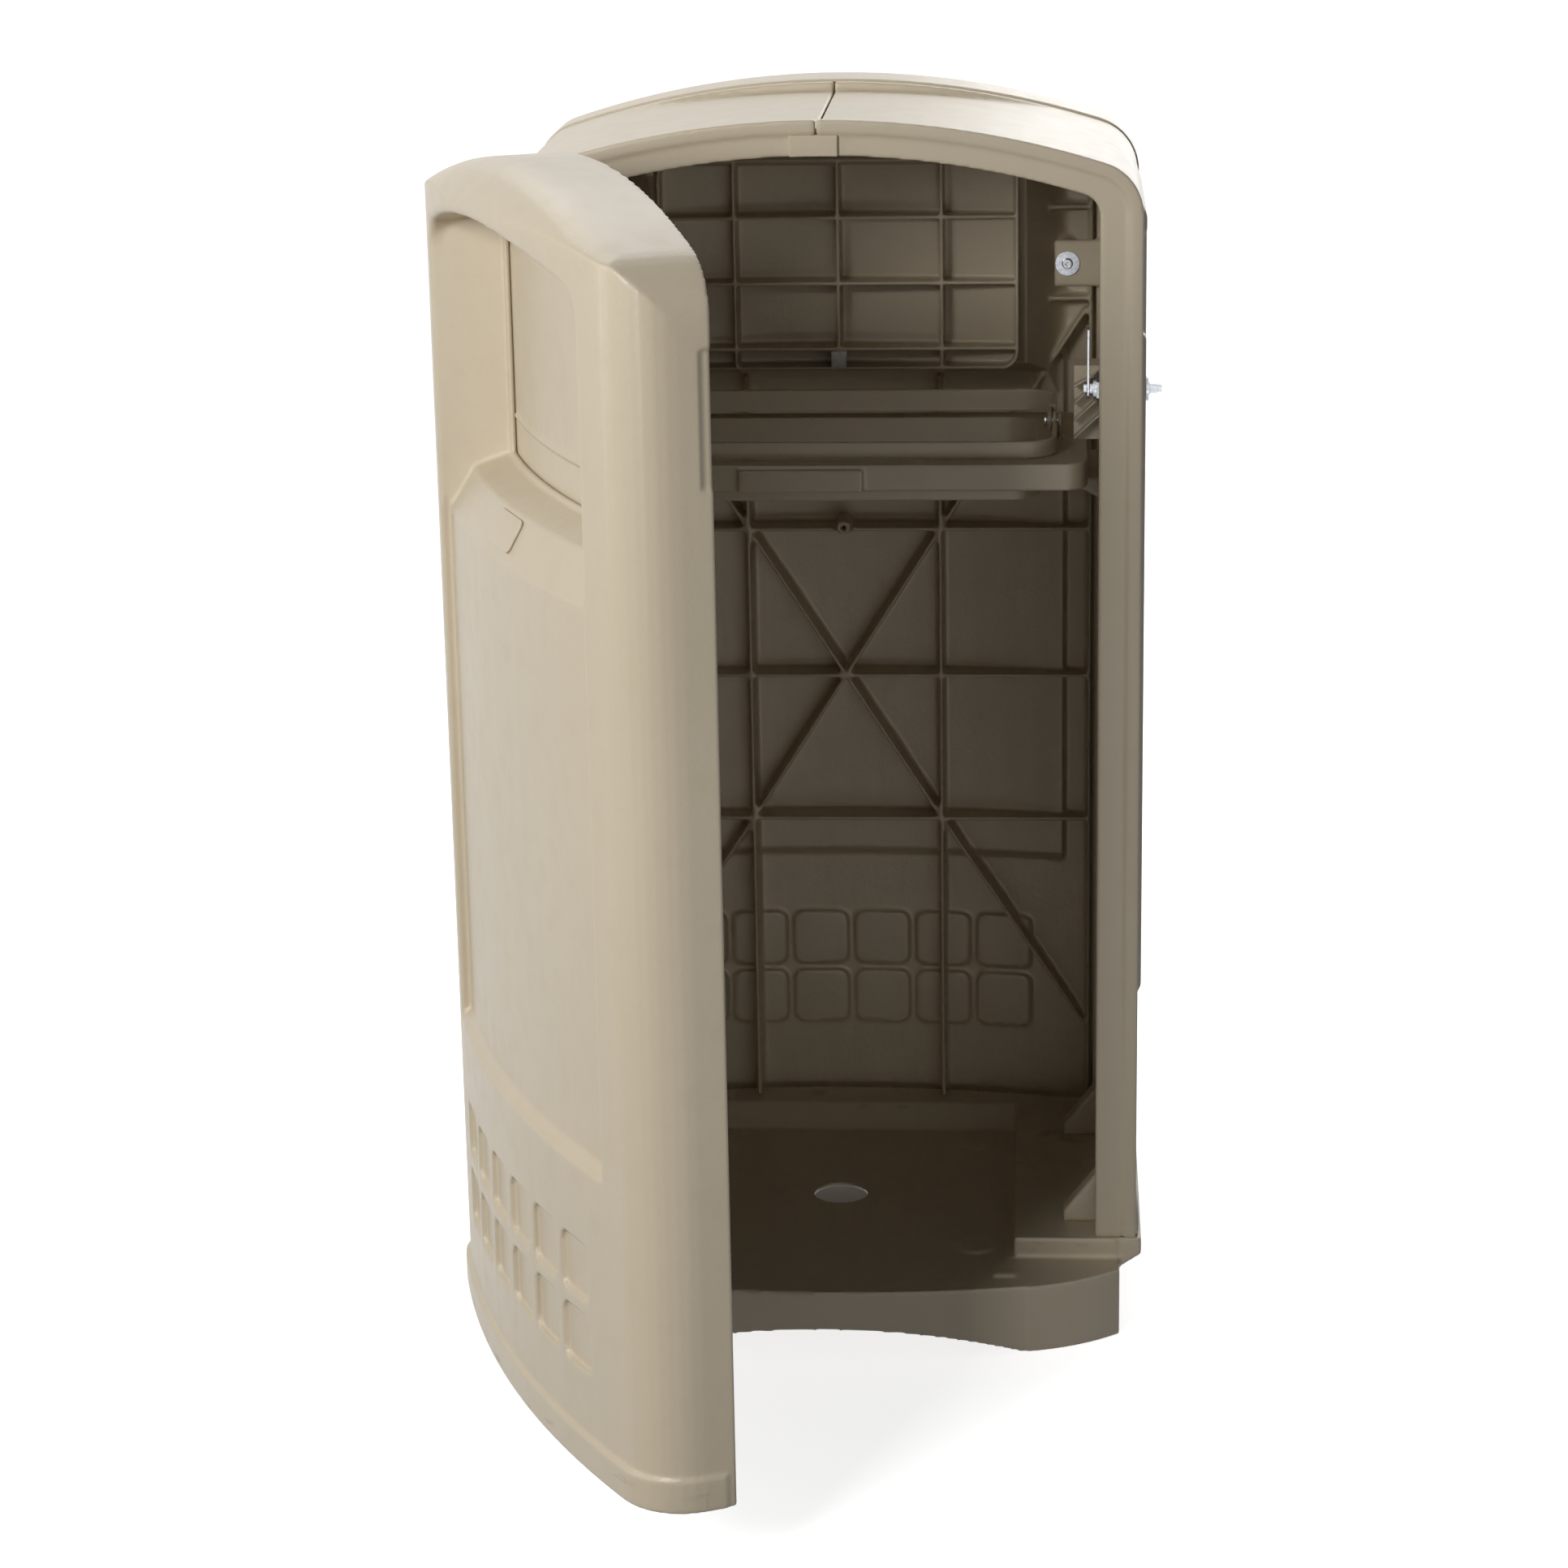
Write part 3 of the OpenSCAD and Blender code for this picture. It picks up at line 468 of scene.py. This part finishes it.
def shade_smooth(mesh: bmesh.types.BMesh) -> None:
    """Marks all faces of a shape as smooth."""
    for face in mesh.faces:
        face.smooth = True


def settled(piece: bpy.types.Object) -> None:
    """Turns a piece's modifiers into plain mesh."""
    graph = bpy.context.evaluated_depsgraph_get()
    data = bpy.data.meshes.new_from_object(piece.evaluated_get(graph), depsgraph=graph)
    rough = piece.data
    data.name = rough.name
    piece.modifiers.clear()
    piece.data = data
    bpy.data.meshes.remove(rough)


LipWeight = Callable[[np.ndarray], np.ndarray]


@dataclass
class Piece:
    """A CAD node that gets a finished shape."""

    node: str
    body: Body
    slot: Slot = Slot.PLASTIC

    def shape(self, frame: dict) -> bpy.types.Object:
        """Returns the finished shape as a new object."""
        raise NotImplementedError

    def build(self, frame: dict, finishes: "Finishes") -> bpy.types.Object:
        """Builds, dresses and mounts the piece.

        Args:
            frame: The loaded frame.
            finishes: The object's materials.

        Returns:
            The piece, which stands for its CAD node.
        """
        piece = self.shape(frame)
        finishes.dress(piece, self.slot)
        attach(piece, self.body.value)
        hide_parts(self.node)
        LOG.info("%s: %d faces", piece.name, len(piece.data.polygons))
        return piece


@dataclass
class Moulding(Piece):
    """A plastic moulding whose edges are all rounded, as they leave the mould.

    Attributes:
        grid: Size of the skin's cells.
        rounding: Passes of smoothing over the whole skin.
        faces: Most triangles that the finished skin keeps.
        lip: Tells how much each point belongs to a lip that is rounded more.
        lip_rounding: Passes of smoothing over that lip.
        lip_levels: Steps in which the smoothing fades out beside the lip.
    """

    grid: float = 1.9 * MM
    rounding: int = 2
    faces: int = 185000
    lip: LipWeight | None = None
    lip_rounding: int = 52
    lip_levels: int = 10

    def shape(self, frame: dict) -> bpy.types.Object:
        """Returns the moulding as an even skin, relaxed at its edges."""
        piece = new_piece(self.node + "_finished", merged_copy(frame["nodes"][self.node]))
        skin = piece.modifiers.new("even_skin", "REMESH")
        skin.mode = "VOXEL"
        skin.voxel_size = self.grid
        settled(piece)
        if self.lip is not None:
            self._relax_lip(piece)
        soft = piece.modifiers.new("soft_edges", "SMOOTH")
        soft.factor = SMOOTH_FACTOR
        soft.iterations = self.rounding
        triangles = 2 * len(piece.data.polygons)
        if triangles > self.faces:
            spare = piece.modifiers.new("spare_faces", "DECIMATE")
            spare.ratio = self.faces / triangles
        settled(piece)
        piece.data.shade_smooth()
        return piece

    def _relax_lip(self, piece: bpy.types.Object) -> None:
        """Rounds the moulding's lips more than its other edges."""
        count = len(piece.data.vertices)
        points = np.empty(3 * count, dtype=np.float32)
        piece.data.vertices.foreach_get("co", points)
        shares = self.lip(points.reshape(count, 3))
        group = piece.vertex_groups.new(name="lip")
        for level in range(1, self.lip_levels + 1):
            chosen = np.nonzero(np.round(shares * self.lip_levels) == level)[0]
            group.add(chosen.tolist(), level / self.lip_levels, "REPLACE")
        relax = piece.modifiers.new("relaxed_lip", "SMOOTH")
        relax.factor = SMOOTH_FACTOR
        relax.iterations = self.lip_rounding
        relax.vertex_group = group.name
        settled(piece)


@dataclass
class Machined(Piece):
    """A small piece with a fine bevel on its edges.

    Attributes:
        edge_radius: Width of the bevel.
        edge_steps: Number of faces across the bevel.
        flat_angle: Faces that turn by fewer degrees than this become one face.
        sharp_angle: Edges that turn by more degrees than this get the bevel.
        crease_angle: Edges that still turn by more degrees than this look sharp.
    """

    edge_radius: float = 0.3 * MM
    edge_steps: int = 2
    flat_angle: float = 0.12
    sharp_angle: float = 32.0
    crease_angle: float = 44.0

    def shape(self, frame: dict) -> bpy.types.Object:
        """Returns the piece with its edges broken."""
        mesh = merged_copy(frame["nodes"][self.node])
        bmesh.ops.dissolve_limit(
            mesh,
            angle_limit=math.radians(self.flat_angle),
            use_dissolve_boundaries=False,
            verts=mesh.verts,
            edges=mesh.edges,
        )
        broken = sharp_edges(mesh, self.sharp_angle)
        softened(mesh, broken, self.edge_radius, self.edge_steps)
        bmesh.ops.triangulate(mesh, faces=[f for f in mesh.faces if len(f.verts) > 4])
        shade_smooth(mesh)
        piece = new_piece(self.node + "_finished", mesh)
        piece.data.set_sharp_from_angle(angle=math.radians(self.crease_angle))
        weighted = piece.modifiers.new("weighted_normals", "WEIGHTED_NORMAL")
        weighted.keep_sharp = True
        return piece


# ---------------------------------------------------------------- the studio


@dataclass(frozen=True)
class SoftBox:
    """A rectangular light.

    Attributes:
        name: The light's name.
        place: Where it hangs.
        aim: The point that it faces.
        size: Its width and height in metres.
        watts: Its power.
    """

    name: str
    place: Point
    aim: Point
    size: tuple[float, float]
    watts: float

    def hang(self) -> None:
        """Adds the light to the scene."""
        data = bpy.data.lights.new(self.name, "AREA")
        data.shape = "RECTANGLE"
        data.size, data.size_y = self.size
        data.energy = self.watts
        light = bpy.data.objects.new(self.name, data)
        light.location = self.place
        facing = Vector(self.aim) - Vector(self.place)
        light.rotation_euler = facing.to_track_quat("-Z", "Y").to_euler()
        bpy.context.scene.collection.objects.link(light)


LIGHTS = (
    SoftBox("key_left", (-1.3, -2.75, 1.7), (-0.1, -0.2, 0.75), (0.8, 1.0), 52.0),
    SoftBox("side_left", (-2.6, -0.9, 1.3), (-0.1, -0.3, 0.6), (1.2, 1.6), 22.0),
    SoftBox("top", (-0.2, 1.3, 2.6), (0.0, 0.1, 0.8), (2.4, 1.6), 28.0),
    SoftBox("floor_bounce", (0.45, -1.7, 0.0), (0.12, 0.0, 0.45), (1.2, 0.4), 2.2),
    SoftBox("fill_right", (1.2, -3.1, 1.35), (0.1, 0.0, 0.5), (0.8, 0.8), 1.0),
    SoftBox("back", (1.2, 3.0, 1.6), (0.0, 0.1, 0.5), (2.2, 2.0), 30.0),
)


@dataclass(frozen=True)
class Studio:
    """Pale floor, white backdrop, soft lights and the camera: lengths are in metres.

    Attributes:
        camera_at: The camera's place.
        camera_turn: The camera's turn about each axis in degrees.
        lens: The camera's focal length in millimetres.
        floor_reach: Half the floor's width.
        glow_fades: Distances where the floor's own glow starts to rise and is full; its dimmer glow
            nearer the object is painted contact shade.
        shade_at: Middle of the painted shadow under the base, where the floor doesn't glow.
        shade_fades: Distances from it where the painted shadow starts to fade and is gone.
        dome_radius: Radius of the backdrop.
        dome_glow: Strength of the backdrop.
        world_glow: Strength of the light from all round.
    """

    camera_at: Point = (0.1976, -3.3753, 1.3855)
    camera_turn: Point = (73.696, 1.007, 3.840)
    lens: float = 89.642
    floor_reach: float = 9.0
    glow_fades: tuple[float, float] = (0.3, 1.5)
    shade_at: Point = (0.0, 0.16, 0.0)
    shade_fades: tuple[float, float] = (0.19, 0.30)
    dome_radius: float = 14.0
    dome_glow: float = 1.1
    world_glow: float = 0.022

    def build(self) -> None:
        """Sets up the camera, the floor, the backdrop and the lights."""
        self._camera()
        self._floor()
        self._dome()
        self._world()
        for light in LIGHTS:
            light.hang()
        view = bpy.context.scene.view_settings
        view.view_transform = "Standard"
        view.look = "None"

    def _camera(self) -> None:
        """Makes the scene's camera."""
        data = bpy.data.cameras.new("camera")
        data.lens = self.lens
        data.sensor_width = 36.0
        camera = bpy.data.objects.new("camera", data)
        camera.location = self.camera_at
        camera.rotation_euler = Euler([math.radians(a) for a in self.camera_turn], "XYZ")
        bpy.context.scene.collection.objects.link(camera)
        bpy.context.scene.camera = camera

    def _floor(self) -> None:
        """Makes the pale floor, which glows brighter away from the object: its dimmer glow near the
        object is painted shade, and its dark patch under the base is a painted shadow.
        """
        mesh = bmesh.new()
        bmesh.ops.create_grid(mesh, x_segments=2, y_segments=2, size=self.floor_reach)
        bmesh.ops.translate(mesh, verts=mesh.verts, vec=(0.0, 0.0, GROUND_Z))
        floor = new_piece("floor", mesh)
        sheet = Sheet("studio_floor")
        cloud = sheet.noise(0.7, 2.0)
        # Painted shade: the floor glows less near the object, standing in for soft contact shadows.
        far = sheet.distance((0.0, 0.0, 0.0)).stepped(*self.glow_fades)
        # Painted shadow: under the base the floor's glow fades to black.
        beyond_painted_shadow = sheet.distance(self.shade_at).stepped(*self.shade_fades)
        glow = sheet.blend(far, rgb(0.80, 0.80, 0.80), rgb(1.02, 1.02, 1.02))
        inputs = {
            "Base Color": sheet.blend(cloud, rgb(0.80, 0.80, 0.80), rgb(0.84, 0.84, 0.84)),
            "Roughness": 0.9,
            # The emission carries the painted shade near the object and the painted shadow under the
            # base.
            "Emission Color": sheet.blend(beyond_painted_shadow, rgb(0.0, 0.0, 0.0), glow),
            "Emission Strength": 1.0,
        }
        floor.data.materials.append(sheet.finish(inputs, cloud, 0.1 * MM))
        floor.visible_diffuse = False
        floor.visible_glossy = False

    def _dome(self) -> None:
        """Makes the white backdrop, which the camera and reflections see."""
        mesh = bmesh.new()
        bmesh.ops.create_icosphere(mesh, subdivisions=4, radius=self.dome_radius)
        dome = new_piece("backdrop", mesh)
        sheet = Sheet("studio_backdrop")
        light = {"Color": rgb(1.0, 1.0, 1.0), "Strength": self.dome_glow}
        sheet.node_out(sheet.node("ShaderNodeEmission", {}, light))
        dome.data.materials.append(sheet.material)
        dome.visible_diffuse = False
        dome.visible_transmission = False
        dome.visible_shadow = False

    def _world(self) -> None:
        """Sets the faint light that comes from all round."""
        world = bpy.data.worlds.new("studio")
        world.use_nodes = True
        background = world.node_tree.nodes["Background"]
        background.inputs["Color"].default_value = rgb(1.0, 1.0, 1.0)
        background.inputs["Strength"].default_value = self.world_glow
        bpy.context.scene.world = world


# ---------------------------------------------------------------- the object


@dataclass(frozen=True)
class PanelPlace:
    """Where a bulged panel stands.

    Attributes:
        back_y: Place of the closed panel's back.
        outward: Direction of its outer face along y, 1 or -1.
        hinge: A point on its turning line.
        open_angle: Degrees that it stands open at rest.
    """

    back_y: float
    outward: float
    hinge: Point = HINGE_LINE
    open_angle: float = 0.0

    def opening(self) -> Matrix:
        """Returns the turn from the closed to the resting position."""
        turn = Matrix.Rotation(math.radians(-self.open_angle), 4, "Z")
        return Matrix.Translation(self.hinge) @ turn @ Matrix.Translation(-Vector(self.hinge))

    def to_panel(self, points: np.ndarray) -> np.ndarray:
        """Moves points to the closed panel.

        Args:
            points: Points at rest, one row each.

        Returns:
            Rows of x, depth from the panel's back outwards, and height.
        """
        back = np.array(self.opening().inverted())
        closed = points @ back[:3, :3].T + back[:3, 3]
        depth = (closed[:, 1] - self.back_y) * self.outward
        return np.stack([closed[:, 0], depth, closed[:, 2]], axis=1)


DOOR_PLACE = PanelPlace(DOOR_BACK_Y, outward=-1.0, open_angle=DOOR_OPEN)
REAR_PLACE = PanelPlace(REAR_BACK_Y, outward=1.0)


@dataclass(frozen=True)
class PocketLip:
    """The pocket's outline on a panel, for the rounding of its lip.

    Attributes:
        place: The panel's place.
        half: Half the pocket's width.
        top: Height of its arched roof in the middle.
        low: Height of its foot, where the recess below it begins.
        arch_r: Radius of the roof's arch.
        recess_low: Height of the recess's lower end.
        reach: How far beside the outline the lip extends.
        recess_reach: The same for the recess's edges.
        fullness: Above 1, the lip's middle has its full share over some width.
        recess_share: Share of the recess's edges.
        bulge: Depth of the panel in its middle.
        widest: Half the width up to which the bulge is worked out.
        skin: Depth of material under the outer face that belongs to the lip.
        skin_fade: Part of it where the share rises from 0 to full.
    """

    place: PanelPlace
    half: float = 0.202
    top: float = 0.968
    low: float = 0.715
    arch_r: float = 0.730
    recess_low: float = 0.250
    reach: float = 13.0 * MM
    recess_reach: float = 12.0 * MM
    fullness: float = 1.4
    recess_share: float = 0.25
    bulge: float = 0.100
    widest: float = 0.3
    skin: float = 16.0 * MM
    skin_fade: float = 6.0 * MM

    def __call__(self, points: np.ndarray) -> np.ndarray:
        """Tells how much each point belongs to the lip.

        Args:
            points: Points at rest, one row each.

        Returns:
            A share from 0 to 1 for each point.
        """
        x, depth, z = self.place.to_panel(points).T
        aside = np.abs(x)
        side = np.abs(aside - self.half)
        arch_z = self.top - self.arch_r
        corner_z = arch_z + math.sqrt(self.arch_r**2 - self.half**2)
        arch = np.abs(np.hypot(x, z - arch_z) - self.arch_r)
        near_arch = np.where(aside < self.half + self.reach, arch, np.inf)
        near_side = np.where((z > self.low) & (z < corner_z + self.reach), side, np.inf)
        near = np.minimum(near_arch, near_side)
        outer = self._outer_skin(aside, depth)
        lip = np.clip(self.fullness - near / self.reach * self.fullness, 0.0, 1.0) * outer
        recess = np.clip(1.0 - side / self.recess_reach, 0.0, 1.0) * self.recess_share
        recess = np.where((z < self.low) & (z > self.recess_low), recess, 0.0) * outer
        return np.maximum(lip, recess)

    def _outer_skin(self, aside: np.ndarray, depth: np.ndarray) -> np.ndarray:
        """Returns 1 for points near the panel's outer face and 0 for points behind them."""
        level = np.minimum(aside, self.widest)
        face = self.bulge - (PANEL_RADIUS - np.sqrt(PANEL_RADIUS**2 - level**2))
        return np.clip((depth - face + self.skin) / self.skin_fade, 0.0, 1.0)


@dataclass
class SubAssembly:
    """A group of pieces that is built and dressed together."""

    frame: dict
    finishes: Finishes

    def parts(self) -> list[Piece]:
        """Returns the pieces that stand for CAD nodes."""
        return []

    def details(self) -> list[bpy.types.Object]:
        """Returns small features that the CAD model leaves out."""
        return []

    def build(self) -> list[bpy.types.Object]:
        """Returns the group's finished pieces."""
        return [part.build(self.frame, self.finishes) for part in self.parts()] + self.details()

    def mounted(self, piece: bpy.types.Object, body: Body, slot: Slot) -> bpy.types.Object:
        """Dresses a detail and lets it ride on a body.

        Args:
            piece: The detail.
            body: The body that carries it.
            slot: Its material slot.

        Returns:
            The same detail.
        """
        self.finishes.dress(piece, slot)
        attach(piece, body.value)
        return piece


@dataclass
class BodyCasing(SubAssembly):
    """Base, side panels and the clips at the roof's seam."""

    def parts(self) -> list[Piece]:
        """Returns the casing's mouldings and clips."""
        names = ["base", "side_panel_left", "side_panel_right"]
        clips = ["roof_clip_front", "roof_clip_rear"]
        panels = [Moulding(name, Body.MAIN) for name in names]
        return panels + [Machined(name, Body.MAIN, edge_radius=1.0 * MM) for name in clips]


@dataclass
class BulgedPanel(SubAssembly):
    """A bulged panel with its pocket, flap and flap rod."""

    side: str = "door"
    place: PanelPlace = DOOR_PLACE

    def parts(self) -> list[Piece]:
        """Returns the panel's shell, its flap and the flap's rod and bumper."""
        front = self.side == "door"
        carrier = Body.DOOR if front else Body.MAIN
        swinging = Body.DOOR_FLAP if front else Body.REAR_FLAP
        shell = "door_shell" if front else "rear_panel"
        return [
            Moulding(shell, carrier, lip=PocketLip(self.place)),
            Moulding(self.side + "_flap", swinging, grid=1.4 * MM, faces=120000),
            Machined(self.side + "_flap_rod", carrier, Slot.ZINC, edge_radius=0.5 * MM),
            Machined(self.side + "_flap_tab", swinging, Slot.TAB, edge_radius=0.6 * MM),
        ]


@dataclass
class Badge(SubAssembly):
    """Blank raised plate on the door's chin.

    Attributes:
        x: Its middle across the closed door.
        depth: Its middle's depth from the door's back.
        z: Its middle's height.
        size: Its length and width.
        thickness: Its thickness.
        corner: Radius of its corners.
        edge: Radius of its edges.
        lean: Degrees that it leans from the level.
        bends: Cuts along its length that let it follow the door's curve.
        crease_angle: Edges that turn by more degrees than this look sharp.
    """

    x: float = -6.0 * MM
    depth: float = 80.5 * MM
    z: float = 725.8 * MM
    size: tuple[float, float] = (60.0 * MM, 28.0 * MM)
    thickness: float = 1.6 * MM
    corner: float = 5.0 * MM
    edge: float = 0.4 * MM
    lean: float = 60.0
    bends: int = 12
    crease_angle: float = 50.0

    def details(self) -> list[bpy.types.Object]:
        """Returns the plate, leaning as the chin does."""
        mesh = bmesh.new()
        bmesh.ops.create_cube(mesh, size=1.0)
        bmesh.ops.scale(mesh, verts=mesh.verts, vec=(self.size[0], self.thickness, self.size[1]))
        corners = [e for e in mesh.edges if self._span(e).length < 2.0 * self.thickness]
        softened(mesh, corners, self.corner, 6)
        softened(mesh, sharp_edges(mesh, 60.0), self.edge, 3)
        shade_smooth(mesh)
        lengthwise = [e for e in mesh.edges if abs(self._span(e).x) > 0.5 * self.size[0]]
        bmesh.ops.subdivide_edges(mesh, edges=lengthwise, cuts=self.bends)
        for vert in mesh.verts:
            vert.co.y += vert.co.x**2 / (2.0 * PANEL_RADIUS)
        bmesh.ops.transform(mesh, verts=mesh.verts, matrix=self._seat())
        plate = new_piece("door_badge_plate", mesh)
        plate.data.set_sharp_from_angle(angle=math.radians(self.crease_angle))
        return [self.mounted(plate, Body.DOOR, Slot.PLASTIC)]

    def _seat(self) -> Matrix:
        """Returns the move from the origin to the chin of the open door."""
        swing = Matrix.Rotation(math.asin(self.x / PANEL_RADIUS), 4, "Z")
        tilt = Matrix.Rotation(math.radians(self.lean - 90.0), 4, "X")
        spot = Matrix.Translation((self.x, DOOR_BACK_Y - self.depth, self.z))
        return DOOR_PLACE.opening() @ spot @ swing @ tilt

    @staticmethod
    def _span(edge: bmesh.types.BMEdge) -> Vector:
        """Returns the way from one end of an edge to the other."""
        return edge.verts[0].co - edge.verts[1].co


@dataclass
class RearBosses(SubAssembly):
    """Hollow screw bosses inside the rear panel.

    Attributes:
        spots: The x and z of each boss.
        front_y: Place of their open ends.
        length: Their length.
        outer: Their radius outside, at the open end.
        inner: Radius of the screw's hole.
        draft: How much wider they are at the panel.
        edge: Radius of their edges.
        steps: Number of faces round them.
    """

    spots: tuple[tuple[float, float], ...] = ((-0.091, 0.742), (0.091, 0.742))
    front_y: float = 0.192
    length: float = 16.0 * MM
    outer: float = 6.0 * MM
    inner: float = 2.6 * MM
    draft: float = 0.4 * MM
    edge: float = 0.5 * MM
    steps: int = 32

    def details(self) -> list[bpy.types.Object]:
        """Returns one tube for each spot."""
        return [self._tube(k, x, z) for k, (x, z) in enumerate(self.spots, start=1)]

    def _tube(self, number: int, x: float, z: float) -> bpy.types.Object:
        """Turns one tube from its wall's section.

        Args:
            number: The tube's number, for its name.
            x: Its middle's x.
            z: Its middle's height.

        Returns:
            The tube, which rides on the body.
        """
        mesh = bmesh.new()
        near, far = self.front_y, self.front_y + self.length
        foot = self.outer + self.draft
        section = [(self.inner, near), (self.outer, near), (foot, far), (self.inner, far)]
        corners = [mesh.verts.new((x + r, y, z)) for r, y in section]
        edges = [mesh.edges.new(pair) for pair in zip(corners, corners[1:] + corners[:1])]
        bmesh.ops.spin(
            mesh,
            geom=corners + edges,
            cent=(x, 0.0, z),
            axis=(0.0, 1.0, 0.0),
            angle=math.tau,
            steps=self.steps,
            use_merge=True,
        )
        bmesh.ops.recalc_face_normals(mesh, faces=mesh.faces)
        softened(mesh, sharp_edges(mesh, 50.0), self.edge, 2)
        shade_smooth(mesh)
        tube = new_piece(f"rear_boss_{number}", mesh)
        return self.mounted(tube, Body.MAIN, Slot.PLASTIC)


@dataclass
class BagHolder(SubAssembly):
    """Bag frame, its two half rings and the blocks beside it."""

    def parts(self) -> list[Piece]:
        """Returns the holder's mouldings, blocks and pins."""
        return [
            Moulding("bag_frame", Body.MAIN, grid=1.5 * MM, rounding=3, faces=150000),
            Moulding("bag_ring_front", Body.RING_FRONT, grid=1.1 * MM, faces=60000),
            Moulding("bag_ring_rear", Body.RING_REAR, grid=1.1 * MM, faces=60000),
            Machined("bag_ring_pins", Body.MAIN, Slot.ZINC, edge_radius=0.4 * MM),
            Machined("guide_block_left", Body.MAIN, edge_radius=0.6 * MM),
            Machined("guide_block_right", Body.MAIN, edge_radius=0.6 * MM),
        ]


@dataclass
class Hardware(SubAssembly):
    """Lock, keeper, hinge pins and screws."""

    def parts(self) -> list[Piece]:
        """Returns the metal pieces."""
        fixed = ["rear_washers", "rear_screws", "lock_body", "lock_nut"]
        fixed += ["hinge_pin_upper", "hinge_pin_lower"]
        turning = ["lock_plug", "lock_cam", "lock_cam_screw", "lock_key"]
        carried = ["door_strike", "strike_pin", "strike_screws"]
        groups = ((fixed, Body.MAIN), (turning, Body.LOCK), (carried, Body.DOOR))
        return [Machined(name, body, Slot.ZINC) for names, body in groups for name in names]


def main() -> None:
    """Builds the whole scene."""
    logging.basicConfig(level=logging.INFO, format="%(message)s")
    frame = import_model()
    Studio().build()
    finishes = Finishes()
    groups = [
        BodyCasing(frame, finishes),
        BulgedPanel(frame, finishes, "door", DOOR_PLACE),
        BulgedPanel(frame, finishes, "rear", REAR_PLACE),
        Badge(frame, finishes),
        RearBosses(frame, finishes),
        BagHolder(frame, finishes),
        Hardware(frame, finishes),
    ]
    for group in groups:
        pieces = group.build()
        LOG.info("%s: %d pieces", type(group).__name__, len(pieces))


if __name__ == "__main__":
    main()
